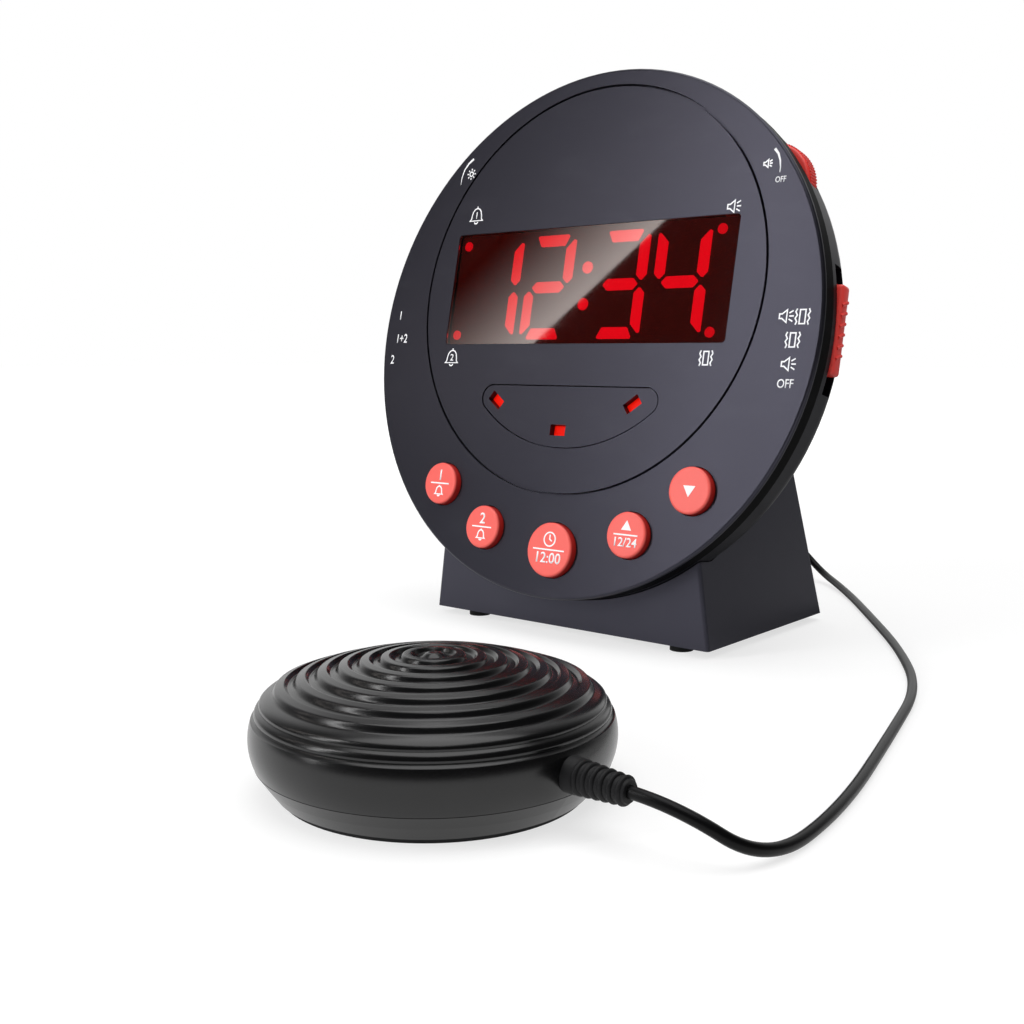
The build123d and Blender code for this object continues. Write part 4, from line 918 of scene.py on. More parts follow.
def sheet(name: str, low: Point, high: Point) -> Mesh:
    """Makes a flat rectangle.

    Args:
        name: The mesh's name.
        low: Its lowest corner in metres.
        high: Its highest corner in metres.

    Returns:
        The mesh in metres.
    """
    spots = ((low[0], low[1]), (high[0], low[1]), (high[0], high[1]), (low[0], high[1]))
    mesh = bpy.data.meshes.new(name)
    mesh.from_pydata([(x, y, 0.0) for x, y in spots], [], [(0, 1, 2, 3)])
    return mesh


def add_piece(
    name: str,
    mesh: Mesh,
    frame: Matrix,
    material: Material,
    body: Body,
    stands_for: Sequence[str] = (),
) -> None:
    """Takes a finished mesh to its place and puts it into the scene as a piece.

    Args:
        name: The piece's name.
        mesh: Its mesh in millimetres.
        frame: The mesh's frame in metres.
        material: Its finish.
        body: The body that it rides on.
        stands_for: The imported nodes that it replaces.
    """
    mesh.transform(frame @ Matrix.Scale(MM, 4))
    mesh.name = name
    mesh.materials.clear()
    mesh.materials.append(material)
    for face in mesh.polygons:
        face.material_index = 0
    piece = put(name, mesh)
    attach(piece, body.value)
    if stands_for:
        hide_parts(*stands_for)
    log.info("%s: %d faces, rides on %s", name, len(mesh.polygons), body.value)


# Geometry node tools


class RuleTree(Wiring):
    """A geometry node tree with named sizes that is turned into plain meshes."""

    def __init__(self, name: str) -> None:
        """Starts a tree that takes a mesh in and gives one out.

        Args:
            name: The tree's name.
        """
        super().__init__(bpy.data.node_groups.new(name, "GeometryNodeTree"))
        for way in ("INPUT", "OUTPUT"):
            self.tree.interface.new_socket("Geometry", in_out=way, socket_type="NodeSocketGeometry")
        self.entry = self.add("NodeGroupInput")
        self.keys: dict[str, str] = {}

    def size(self, label: str, kind: str = "Float") -> Socket:
        """Adds a named input.

        Args:
            label: Its name.
            kind: Its socket type, without the words that all of them start with.

        Returns:
            The socket that gives it.
        """
        item = self.tree.interface.new_socket(label, in_out="INPUT", socket_type="NodeSocket" + kind)
        self.keys[label] = item.identifier
        return self.entry.outputs[label]

    def close(self, shapes: Sequence[Socket], merge: float = 0.0) -> RuleTree:
        """Joins shapes, makes instances real, sets the finish and ends the tree.

        Args:
            shapes: The geometry sockets to join.
            merge: Points nearer than this become one, where it isn't zero.

        Returns:
            The same tree.
        """
        join = self.node("GeometryNodeJoinGeometry")
        for shape in reversed(shapes):
            self.tree.links.new(shape, join.inputs[0])
        real = self.node("GeometryNodeRealizeInstances", Geometry=join.outputs[0]).outputs[0]
        if merge:
            real = self.node("GeometryNodeMergeByDistance", Geometry=real, Distance=merge).outputs[0]
        finish = self.size("Finish", "Material")
        done = self.node("GeometryNodeSetMaterial", Geometry=real, Material=finish)
        self.node("NodeGroupOutput", Geometry=done.outputs[0])
        return self

    def bake(self, name: str, start: Mesh | None, merge_mm: float = DOUBLES_MM, **values: object) -> Mesh:
        """Runs the tree on a mesh and gives the tidied result as a plain mesh.

        Args:
            name: The result's name.
            start: The mesh that goes in, freed afterwards, or nothing.
            merge_mm: Points of the result nearer than this become one.
            **values: The named sizes, where an underscore stands for a space.

        Returns:
            The plain mesh.
        """
        start = start or bpy.data.meshes.new(name)
        holder = put(name, start)
        modifier = holder.modifiers.new("rule", "NODES")
        modifier.node_group = self.tree
        for label, value in values.items():
            modifier[self.keys[label.replace("_", " ")]] = value
        mesh = plain_mesh(holder)
        bpy.data.meshes.remove(start)
        return tidy_mesh(mesh, merge_mm)


class Rules:
    """The geometry node trees of the clock, built once each."""

    TOOTH_SIDES: ClassVar[int] = 10
    RIB_SIDES: ClassVar[int] = 14
    RING_RUNS: ClassVar[int] = 40
    BEAD_RUNS: ClassVar[int] = 12
    RIDGE_SPAN: ClassVar[Span] = (0.08, 0.72)
    CROWN_MERGE: ClassVar[float] = 0.002

    def __init__(self) -> None:
        """Builds every tree."""
        self.rim_teeth = self._rim_teeth()
        self.rib_row = self._rib_row()
        self.ring_stack = self._ring_stack()
        self.fasteners = self._fasteners()
        self.ridged_crown = self._ridged_crown()

    def _rim_teeth(self) -> RuleTree:
        """Sets round teeth about the rim of a wheel, joined to the wheel that comes in.

        Returns:
            The tree.
        """
        rule = RuleTree("rim_teeth")
        ring = rule.node(
            "GeometryNodeMeshCircle", Vertices=rule.size("Teeth", "Int"), Radius=rule.size("Ring"),
        )
        tooth = rule.node(
            "GeometryNodeMeshCylinder", Vertices=self.TOOTH_SIDES, Radius=rule.size("Tooth Radius"),
            Depth=rule.size("Length"),
        )
        teeth = rule.node(
            "GeometryNodeInstanceOnPoints", Points=ring.outputs[0], Instance=tooth.outputs["Mesh"],
        )
        return rule.close([rule.entry.outputs[0], teeth.outputs[0]])

    def _rib_row(self) -> RuleTree:
        """Sets a row of round ribs, joined to the knob that comes in.

        Returns:
            The tree.
        """
        rule = RuleTree("rib_row")
        step = rule.node("ShaderNodeCombineXYZ", Y=rule.size("Pitch"))
        line = rule.node(
            "GeometryNodeMeshLine", Count=rule.size("Ribs", "Int"),
            Start_Location=rule.size("Start", "Vector"), Offset=step.outputs[0],
        )
        rib = rule.node(
            "GeometryNodeMeshCylinder", Vertices=self.RIB_SIDES, Radius=rule.size("Rib Radius"),
            Depth=rule.size("Length"),
        )
        ribs = rule.node(
            "GeometryNodeInstanceOnPoints", Points=line.outputs[0], Instance=rib.outputs["Mesh"],
            Rotation=rule.size("Turn", "Rotation"),
        )
        return rule.close([rule.entry.outputs[0], ribs.outputs[0]])

    def _ring_stack(self) -> RuleTree:
        """Sets round rings along Z that shrink from first to last, joined to the sleeve that comes in.

        Returns:
            The tree.
        """
        rule = RuleTree("ring_stack")
        rings = rule.size("Rings", "Int")
        step = rule.node("ShaderNodeCombineXYZ", Z=rule.size("Pitch"))
        first = rule.node("ShaderNodeCombineXYZ", Z=rule.size("Start"))
        line = rule.node(
            "GeometryNodeMeshLine", Count=rings, Start_Location=first.outputs[0], Offset=step.outputs[0],
        )
        path = rule.node(
            "GeometryNodeCurvePrimitiveCircle", Radius=rule.size("Ring Radius"), Resolution=self.RING_RUNS,
        )
        bead = rule.node(
            "GeometryNodeCurvePrimitiveCircle", Radius=rule.size("Bead Radius"), Resolution=self.BEAD_RUNS,
        )
        ring = rule.node("GeometryNodeCurveToMesh", Curve=path.outputs[0], Profile_Curve=bead.outputs[0])
        index = rule.node("GeometryNodeInputIndex").outputs[0]
        scale = rule.math("SUBTRACT", 1.0, rule.math("MULTIPLY", index, rule.size("Taper")))
        stack = rule.node(
            "GeometryNodeInstanceOnPoints", Points=line.outputs[0], Instance=ring.outputs[0], Scale=scale,
        )
        return rule.close([rule.entry.outputs[0], stack.outputs[0]])

    def _fasteners(self) -> RuleTree:
        """Sets one screw on every point of the mesh that comes in.

        Returns:
            The tree.
        """
        rule = RuleTree("fasteners")
        info = rule.node("GeometryNodeObjectInfo", Object=rule.size("Screw", "Object"))
        screws = rule.node(
            "GeometryNodeInstanceOnPoints", Points=rule.entry.outputs[0], Instance=info.outputs["Geometry"],
            Rotation=rule.size("Turn", "Rotation"),
        )
        return rule.close([screws.outputs[0]])

    def _ridged_crown(self) -> RuleTree:
        """Sets a shallow dome with flat-topped ridges about a dimpled nub on the wall that comes in.

        Returns:
            The tree.
        """
        rule = RuleTree("ridged_crown")
        radius = rule.size("Radius")
        pitch = rule.size("Pitch")
        grid = rule.node(
            "GeometryNodeMeshGrid", Size_X=1.0, Size_Y=1.0, Vertices_X=rule.size("Rows", "Int"),
            Vertices_Y=rule.size("Sides", "Int"),
        )
        spot = rule.node("ShaderNodeSeparateXYZ", Vector=rule.node("GeometryNodeInputPosition").outputs[0])
        share = rule.math("ADD", spot.outputs["X"], 0.5)
        reach = rule.math("MULTIPLY", share, radius)
        turn = rule.math("MULTIPLY", rule.math("ADD", spot.outputs["Y"], 0.5), 2 * pi)
        drop = rule.math("MULTIPLY", rule.math("MULTIPLY", share, share), rule.size("Dome Drop"))
        dome = rule.math("SUBTRACT", rule.size("Dome Top"), drop)
        phase = rule.math("DIVIDE", rule.math("SUBTRACT", radius, reach), pitch)
        swing = rule.math("COSINE", rule.math("MULTIPLY", phase, 2 * pi))
        wave = rule.math("SUBTRACT", 0.5, rule.math("MULTIPLY", swing, 0.5))
        flat = rule.node(
            "ShaderNodeMapRange", {"interpolation_type": "SMOOTHSTEP"}, Value=wave,
            From_Min=self.RIDGE_SPAN[0], From_Max=self.RIDGE_SPAN[1],
        )
        middle = rule.size("Nub Radius")
        outside = rule.math("GREATER_THAN", reach, middle)
        ridge = rule.math("MULTIPLY", flat.outputs[0], outside)
        ridge = rule.math("MULTIPLY", ridge, rule.size("Ridge Height"))
        nub = self._swelling(rule, reach, middle, rule.size("Nub Height"))
        dimple = self._swelling(rule, reach, rule.size("Dimple Radius"), rule.size("Dimple Depth"))
        height = rule.math("ADD", dome, rule.math("ADD", ridge, rule.math("SUBTRACT", nub, dimple)))
        place = rule.node(
            "ShaderNodeCombineXYZ", X=rule.math("MULTIPLY", reach, rule.math("COSINE", turn)),
            Y=rule.math("MULTIPLY", reach, rule.math("SINE", turn)), Z=height,
        )
        crown = rule.node(
            "GeometryNodeSetPosition", Geometry=grid.outputs["Mesh"], Position=place.outputs[0],
        )
        return rule.close([rule.entry.outputs[0], crown.outputs[0]], merge=self.CROWN_MERGE)

    @staticmethod
    def _swelling(rule: RuleTree, reach: Socket, radius: Socket, height: Socket) -> Socket:
        """Adds a round swelling about the axis that fades to nothing at a radius.

        Args:
            rule: The tree.
            reach: The distance from the axis.
            radius: Where the swelling ends.
            height: Its height on the axis.

        Returns:
            Its height at that distance.
        """
        share = rule.math("MINIMUM", rule.math("DIVIDE", reach, radius), 1.0)
        wave = rule.math("COSINE", rule.math("MULTIPLY", share, pi))
        return rule.math("MULTIPLY", rule.math("MULTIPLY", rule.math("ADD", wave, 1.0), 0.5), height)


# Printing


@dataclass
class Ink:
    """Flat marks drawn in the plane of a surface, in millimetres, and raised a hair above it."""

    SHARPEST: ClassVar[float] = 0.35
    LONGEST_MITRE: ClassVar[float] = 2.0
    CAPITAL_SHARE: ClassVar[float] = 0.7
    BOLDER: ClassVar[float] = 0.012
    FIGURE_RUNS: ClassVar[int] = 4
    DOUBLES: ClassVar[float] = 0.0005

    line: float = 0.36
    rings: list[tuple[list[Point], list[Point], bool]] = field(default_factory=list)
    patches: list[list[Point]] = field(default_factory=list)
    words: list[Mesh] = field(default_factory=list)

    def ribbon(self, points: Sequence[Point], widths: Sequence[float], closed: bool = False) -> None:
        """Adds a band along points.

        Args:
            points: The middle of the band.
            widths: Its width at each point.
            closed: Whether its end meets its start.
        """
        left, right = [], []
        count = len(points)
        for index, (x, y) in enumerate(points):
            before = points[index - 1] if closed or index else points[0]
            after = points[(index + 1) % count] if closed or index < count - 1 else points[-1]
            first = Vector((x - before[0], y - before[1]))
            second = Vector((after[0] - x, after[1] - y))
            first = first.normalized() if first.length else second.normalized()
            second = second.normalized() if second.length else first
            middle = (first + second).normalized()
            stretch = min(1 / max(middle.dot(first), self.SHARPEST), self.LONGEST_MITRE)
            offset = Vector((-middle.y, middle.x)) * (widths[index] / 2 * stretch)
            left.append((x + offset.x, y + offset.y))
            right.append((x - offset.x, y - offset.y))
        self.rings.append((left, right, closed))

    def stroke(self, points: Sequence[Point], closed: bool = False) -> None:
        """Adds a line of even width."""
        self.ribbon(points, [self.line] * len(points), closed)

    def text(self, letters: str, centre: Point, height: float, squeeze: float = 1.0) -> None:
        """Adds plain figures or letters.

        Args:
            letters: What to write.
            centre: The middle of the writing.
            height: The height of its capitals.
            squeeze: How wide it is drawn, as a share of its own width.
        """
        curve = bpy.data.curves.new("figures", "FONT")
        curve.body = letters
        curve.size = height / self.CAPITAL_SHARE
        curve.align_x = "CENTER"
        curve.align_y = "CENTER"
        curve.offset = height * self.BOLDER
        curve.resolution_u = self.FIGURE_RUNS
        mesh = plain_mesh(put("figures", curve))
        bpy.data.curves.remove(curve)
        narrow = Matrix.Diagonal((squeeze, 1.0, 1.0, 1.0))
        mesh.transform(Matrix.Translation((centre[0], centre[1], 0.0)) @ narrow)
        self.words.append(mesh)

    def sign(self, kind: Pictogram, centre: Point, size: float) -> None:
        """Draws one pictogram.

        Args:
            kind: Which one.
            centre: Its middle.
            size: Its height.
        """
        def at(x: float, y: float) -> Point:
            """Gives a point of the unit drawing on the surface."""
            return centre[0] + x * size, centre[1] + y * size

        drawings: dict[Pictogram, Callable[[Placer], None]] = {
            Pictogram.BELL: self._bell,
            Pictogram.SPEAKER: self._speaker,
            Pictogram.SHAKE: self._shake,
            Pictogram.DIAL: self._dial,
            Pictogram.SUN: self._sun,
            Pictogram.UP: self._up,
            Pictogram.DOWN: self._down,
        }
        drawings[kind](at)

    def _trace(self, at: Placer, points: Iterable[Point], closed: bool = False) -> None:
        """Adds a line through points of the unit drawing."""
        self.stroke([at(x, y) for x, y in points], closed)

    def _bell(self, at: Placer) -> None:
        """Draws a bell with its clapper.

        Args:
            at: Places a point of the unit drawing.
        """
        half = [(0.46, -0.26), (0.36, -0.16), (0.33, 0.06), (0.28, 0.24), (0.17, 0.37), (0.06, 0.42)]
        self._trace(at, half + [(-x, y) for x, y in reversed(half)], closed=True)
        self._trace(at, ((-0.13, -0.34), (-0.06, -0.42), (0.06, -0.42), (0.13, -0.34)))
        self._trace(at, ((0.0, 0.44), (0.0, 0.54)))

    def _speaker(self, at: Placer) -> None:
        """Draws a loudspeaker with three sound lines.

        Args:
            at: Places a point of the unit drawing.
        """
        horn = ((-0.55, -0.15), (-0.36, -0.15), (-0.02, -0.42), (-0.02, 0.42), (-0.36, 0.15), (-0.55, 0.15))
        self._trace(at, horn, closed=True)
        self._trace(at, ((0.14, 0.2), (0.42, 0.36)))
        self._trace(at, ((0.16, 0.0), (0.48, 0.0)))
        self._trace(at, ((0.14, -0.2), (0.42, -0.36)))

    def _shake(self, at: Placer) -> None:
        """Draws a pad between two wavy lines.

        Args:
            at: Places a point of the unit drawing.
        """
        self._trace(at, ((-0.17, -0.4), (0.17, -0.4), (0.17, 0.4), (-0.17, 0.4)), closed=True)
        wave = ((0.36, 0.46), (0.44, 0.28), (0.33, 0.09), (0.44, -0.09), (0.33, -0.28), (0.4, -0.46))
        for side in (-1, 1):
            self._trace(at, [(side * x, y) for x, y in wave])

    def _dial(self, at: Placer) -> None:
        """Draws a clock dial with two hands."""
        self._trace(at, circle(0.48, 28), closed=True)
        self._trace(at, ((0.0, 0.32), (0.0, 0.0), (0.2, -0.12)))

    def _sun(self, at: Placer) -> None:
        """Draws a disc with eight rays.

        Args:
            at: Places a point of the unit drawing.
        """
        self._trace(at, circle(0.2, 16), closed=True)
        for ray in zip(circle(0.33, 8), circle(0.5, 8)):
            self._trace(at, ray)

    def _up(self, at: Placer) -> None:
        """Draws an arrowhead that points up."""
        self.patches.append([at(-0.5, -0.36), at(0.5, -0.36), at(0.0, 0.46)])

    def _down(self, at: Placer) -> None:
        """Draws an arrowhead that points down."""
        self.patches.append([at(0.0, -0.46), at(0.5, 0.36), at(-0.5, 0.36)])

    def mesh(self, name: str, lift: float = 0.05, sink: float = 0.02) -> Mesh:
        """Turns all that was drawn into one thin raised mesh.

        Args:
            name: The mesh's name.
            lift: How far it stands above the surface.
            sink: How far its foot goes below.

        Returns:
            The mesh in millimetres.
        """
        work = bmesh.new()
        for left, right, closed in self.rings:
            sides = [[work.verts.new((x, y, -sink)) for x, y in side] for side in (left, right)]
            count = len(left)
            for index in range(count if closed else count - 1):
                after = (index + 1) % count
                work.faces.new((sides[1][index], sides[1][after], sides[0][after], sides[0][index]))
        for patch in self.patches:
            work.faces.new([work.verts.new((x, y, -sink)) for x, y in patch])
        for words in self.words:
            words.transform(Matrix.Translation((0.0, 0.0, -sink)))
            work.from_mesh(words)
            bpy.data.meshes.remove(words)
        bmesh.ops.remove_doubles(work, verts=work.verts, dist=self.DOUBLES)
        grown = bmesh.ops.extrude_face_region(work, geom=work.faces[:])
        raised = [item for item in grown["geom"] if isinstance(item, bmesh.types.BMVert)]
        bmesh.ops.translate(work, vec=(0.0, 0.0, lift + sink), verts=raised)
        bmesh.ops.recalc_face_normals(work, faces=work.faces)
        return close_mesh(name, work)


# The object's sub-assemblies


@dataclass
class Casing:
    """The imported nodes, which get their finishes here."""

    finishes: dict[str, tuple[str, ...]] = field(default_factory=lambda: {
        "slate_plastic": ("front_bezel", "face_panel"),
        "stand_plastic": ("stand",),
        "housing_plastic": ("rear_housing",),
        "alert_plastic": ("alert_panel",),
        "trim_black": ("trim_ring",),
        "snooze_plastic": ("snooze_bar",),
        "inner_black": (
            "base_plate", "battery_door", "mode_switch", "alarm_switch", "volume_control", "dimmer_control",
            "key_switches", "dc_jack", "shaker_jack", "motor_cradle", "battery_clip", "snooze_switch",
        ),
        "button_coral": ("alarm_1_button", "alarm_2_button", "time_button", "up_button", "down_button"),
        "control_red": ("volume_wheel", "dimmer_wheel", "mode_slider", "alarm_slider"),
        "window_acrylic": ("display_lens",),
        "digit_glow": ("digit_segments",),
        "dot_glow": ("indicator_dots",),
        "alert_glow": ("alert_lights",),
        "display_deep_red": ("display_module",),
        "board_green": ("main_board", "key_board"),
        "screw_steel": ("board_screws", "housing_screws", "stand_screws", "base_screws", "shaker_screws"),
        "speaker_black": ("speaker",),
        "battery_wrap": ("backup_battery",),
        "foot_rubber": ("rubber_feet", "shaker_sole", "strain_relief", "shaker_plug"),
        "cord_black": ("shaker_cord",),
        "shaker_black": ("shaker_top", "shaker_base"),
        "motor_steel": ("shaker_motor",),
        "weight_brass": ("eccentric_weight",),
    })

    def dress(self, nodes: dict[str, bpy.types.Object], palette: Palette) -> None:
        """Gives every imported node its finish.

        Args:
            nodes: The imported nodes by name.
            palette: The finishes.
        """
        for finish, names in self.finishes.items():
            for name in names:
                for slot in nodes[name].material_slots:
                    slot.material = palette[finish]
            log.info("%s on %s", finish, ", ".join(names))


@dataclass
class FacePrint:
    """The white signs on the face."""

    bell_size: float = 5.5
    bell_figure: float = 2.0
    bell_figure_rise: float = 0.1
    bells: tuple[tuple[str, Point], ...] = (("1", (-42.8, 36.2)), ("2", (-45.1, -7.4)))
    speaker_size: float = 3.8
    speakers: tuple[Point, ...] = ((46.4, 32.5), (65.2, 3.4), (67.4, -8.6))
    shake_size: float = 4.4
    shakes: tuple[Point, ...] = ((43.6, -7.2), (69.4, 3.2), (67.5, -2.6))
    squeeze: float = 0.82
    mode_off: Point = (67.0, -13.6)
    mode_off_height: float = 2.2
    alarm_height: float = 2.7
    alarm_words: tuple[tuple[str, Point], ...] = (
        ("1", (-69.4, 6.0)),
        ("1+2", (-67.6, -1.4)),
        ("2", (-70.4, -8.1)),
    )
    wedge_width: float = 0.7
    wedge_thinning: float = 0.8
    volume_arc: tuple[Point, ...] = ((55.9, 46.6), (57.1, 45.2), (57.8, 43.4), (58.1, 41.6), (58.1, 40.3))
    volume_sign: Point = (54.6, 42.9)
    volume_sign_size: float = 2.4
    volume_off: Point = (58.6, 38.4)
    volume_off_height: float = 1.5
    dimmer_arc: tuple[Point, ...] = (
        (-47.2, 54.3),
        (-48.9, 53.1),
        (-50.4, 51.2),
        (-51.1, 48.9),
        (-51.2, 46.6),
    )
    dimmer_sign: Point = (-47.3, 49.6)
    dimmer_sign_size: float = 3.4

    def build(self, palette: Palette) -> None:
        """Draws all signs and puts them on the face.

        Args:
            palette: The finishes.
        """
        ink = Ink()
        for number, centre in self.bells:
            ink.sign(Pictogram.BELL, centre, self.bell_size)
            ink.text(number, (centre[0], centre[1] + self.bell_figure_rise), self.bell_figure)
        for centre in self.speakers:
            ink.sign(Pictogram.SPEAKER, centre, self.speaker_size)
        for centre in self.shakes:
            ink.sign(Pictogram.SHAKE, centre, self.shake_size)
        ink.text("OFF", self.mode_off, self.mode_off_height, self.squeeze)
        for words, centre in self.alarm_words:
            ink.text(words, centre, self.alarm_height, self.squeeze)
        self._wedge(ink, self.volume_arc)
        self._wedge(ink, self.dimmer_arc)
        ink.sign(Pictogram.SPEAKER, self.volume_sign, self.volume_sign_size)
        ink.text("OFF", self.volume_off, self.volume_off_height, self.squeeze)
        ink.sign(Pictogram.SUN, self.dimmer_sign, self.dimmer_sign_size)
        mesh = ink.mesh("face_print")
        add_piece("face_print", mesh, FACE.matrix(), palette["print_white"], Body.CLOCK)

    def _wedge(self, ink: Ink, points: Sequence[Point]) -> None:
        """Adds a line that thins from its start to its end.

        Args:
            ink: Where it is drawn.
            points: The middle of the line.
        """
        last = len(points) - 1
        widths = [self.wedge_width * (1 - self.wedge_thinning * index / last) for index in range(last + 1)]
        ink.ribbon(points, widths)


@dataclass
class ButtonPrint:
    """The white signs on the five push buttons."""

    ring: float = 61.4
    proud: float = 2.2
    line: float = 0.4
    alarm_rule: float = 3.6
    alarm_figure: float = 3.1
    alarm_figure_rise: float = 2.3
    alarm_bell: float = 3.4
    alarm_bell_rise: float = -2.4
    time_rule: float = 5.4
    time_dial: float = 4.0
    time_dial_rise: float = 2.9
    time_figure: float = 2.9
    time_figure_rise: float = -2.4
    up_rule: float = 3.8
    up_arrow: float = 3.2
    up_arrow_rise: float = 2.4
    up_figure: float = 2.4
    up_figure_rise: float = -2.1
    down_arrow: float = 3.6
    down_arrow_rise: float = -0.1
    places_deg: dict[Body, float] = field(default_factory=lambda: {
        Body.ALARM_1: -131.9,
        Body.ALARM_2: -111.4,
        Body.TIME: -87.4,
        Body.UP: -63.4,
        Body.DOWN: -42.9,
    })

    def build(self, palette: Palette) -> None:
        """Draws each button's signs and puts them on its cap.

        Args:
            palette: The finishes.
        """
        for body, angle in self.places_deg.items():
            ink = Ink(line=self.line)
            self._draw(ink, body)
            turn = radians(angle)
            frame = FACE.matrix(self.ring * cos(turn), self.ring * sin(turn), self.proud)
            name = body.value.replace("button", "print")
            add_piece(name, ink.mesh(name), frame, palette["print_white"], body)

    def _draw(self, ink: Ink, body: Body) -> None:
        """Draws the signs of one button about its middle.

        Args:
            ink: Where they are drawn.
            body: The button.
        """
        if body in (Body.ALARM_1, Body.ALARM_2):
            number = "1" if body is Body.ALARM_1 else "2"
            ink.text(number, (0.0, self.alarm_figure_rise), self.alarm_figure)
            self._rule(ink, self.alarm_rule)
            ink.sign(Pictogram.BELL, (0.0, self.alarm_bell_rise), self.alarm_bell)
        elif body is Body.TIME:
            ink.sign(Pictogram.DIAL, (0.0, self.time_dial_rise), self.time_dial)
            self._rule(ink, self.time_rule)
            ink.text("12:00", (0.0, self.time_figure_rise), self.time_figure)
        elif body is Body.UP:
            ink.sign(Pictogram.UP, (0.0, self.up_arrow_rise), self.up_arrow)
            self._rule(ink, self.up_rule)
            ink.text("12/24", (0.0, self.up_figure_rise), self.up_figure)
        else:
            ink.sign(Pictogram.DOWN, (0.0, self.down_arrow_rise), self.down_arrow)

    @staticmethod
    def _rule(ink: Ink, half: float) -> None:
        """Draws the line between a button's two signs."""
        ink.stroke([(-half, 0.0), (half, 0.0)])


@dataclass
class AlertLamps:
    """The three red lamps, sunk in the slots of the smile-shaped insert."""

    ring: float = 40.0
    rise: float = 12.25
    shift: float = -1.4
    turns_deg: tuple[float, ...] = (-36.8, 0.0, 36.8)
    length: float = 5.1
    width: float = 2.9
    edge: float = 0.3
    front: float = 1.9
    back: float = 10.6

    def build(self, palette: Palette) -> None:
        """Builds the lamps and sets them behind the face.

        Args:
            palette: The finishes.
        """
        size = (self.length, self.width, self.back - self.front)
        middle = -(self.front + self.back) / 2
        parts = []
        for angle in self.turns_deg:
            turn = radians(angle)
            spot = (self.ring * sin(turn) + self.shift, self.rise - self.ring * cos(turn), middle)
            place = Matrix.Translation(spot) @ Matrix.Rotation(turn, 4, "Z")
            parts.append((rounded_block("lamp", size, self.edge), place))
        mesh = merged("alert_lamps", parts)
        glow = palette["alert_glow"]
        add_piece("alert_lamps", mesh, FACE.matrix(), glow, Body.CLOCK, ["alert_lights"])


@dataclass
class FlankControls:
    """The thumbwheels and slide knobs on both flanks."""

    wheel_u: float = 50.196
    wheel_v: float = 39.218
    wheel_front: float = 7.6
    wheel_width: float = 5.0
    wheel_radius: float = 12.5
    wheel_edge: float = 0.7
    wheel_edge_runs: int = 5
    wheel_sides: int = 112
    teeth: int = 92
    tooth_radius: float = 0.34
    knob_inner: float = 68.35
    knob_outer: float = 75.3
    knob_length: float = 23.0
    knob_front: float = 8.7
    knob_back: float = 12.9
    knob_rise: float = 2.0
    knob_edge: float = 0.9
    ribs: int = 6
    rib_pitch: float = 2.7
    rib_radius: float = 0.5
    rib_proud: float = 0.75
    rib_margin: float = 1.0
    rib_slant_deg: float = 25.0

    def build(self, palette: Palette, rules: Rules) -> None:
        """Builds both wheels and both knobs.

        Args:
            palette: The finishes.
            rules: The geometry node trees.
        """
        red = palette["control_red"]
        for flank, body in ((Flank.RIGHT, Body.VOLUME), (Flank.LEFT, Body.DIMMER)):
            self._wheel(flank, body, red, rules)
        for flank, body in ((Flank.RIGHT, Body.MODE), (Flank.LEFT, Body.ALARM_MODE)):
            self._knob(flank, body, red, rules)

    def _wheel(self, flank: Flank, body: Body, red: Material, rules: Rules) -> None:
        """Builds one toothed wheel about its own axis and sets it in its place.

        Args:
            flank: The side that it sits on.
            body: The body that it rides on and stands for.
            red: Its finish.
            rules: The geometry node trees.
        """
        half = self.wheel_width / 2
        core = self.wheel_radius - self.tooth_radius
        edge = self.wheel_edge
        runs = self.wheel_edge_runs
        turns = [step * pi / (2 * runs) for step in range(runs + 1)]
        rim = [(core - edge * (1 - sin(turn)), half - edge * (1 - cos(turn))) for turn in turns]
        profile = [(0.0, half), *rim, *((radius, -rise) for radius, rise in reversed(rim)), (0.0, -half)]
        name = body.value + "_grip"
        mesh = rules.rim_teeth.bake(
            name, lathe("wheel_core", profile, self.wheel_sides), Teeth=self.teeth, Ring=core,
            Tooth_Radius=self.tooth_radius, Length=self.wheel_width - 2 * edge, Finish=red,
        )
        frame = FACE.matrix(flank.value * self.wheel_u, self.wheel_v, -self.wheel_front - half)
        add_piece(name, mesh, frame, red, body, [body.value])

    def _knob(self, flank: Flank, body: Body, red: Material, rules: Rules) -> None:
        """Builds one ribbed knob about its middle and sets it in its place.

        Args:
            flank: The side that it sits on.
            body: The body that it rides on and stands for.
            red: Its finish.
            rules: The geometry node trees.
        """
        depth = self.knob_outer - self.rib_radius * self.rib_proud - self.knob_inner
        width = self.knob_back - self.knob_front
        block = rounded_block("knob_core", (depth, self.knob_length, width), self.knob_edge)
        rib_x = flank.value * (depth / 2 - self.rib_radius * (1 - self.rib_proud))
        rib_y = -self.rib_pitch * (self.ribs - 1) / 2
        name = body.value + "_grip"
        mesh = rules.rib_row.bake(
            name, block, Ribs=self.ribs, Pitch=self.rib_pitch, Start=(rib_x, rib_y, 0.0),
            Rib_Radius=self.rib_radius, Length=width - self.rib_margin,
            Turn=(radians(self.rib_slant_deg), 0.0, 0.0), Finish=red,
        )
        u = flank.value * (self.knob_inner + depth / 2)
        frame = FACE.matrix(u, self.knob_rise, -(self.knob_front + self.knob_back) / 2)
        add_piece(name, mesh, frame, red, body, [body.value])


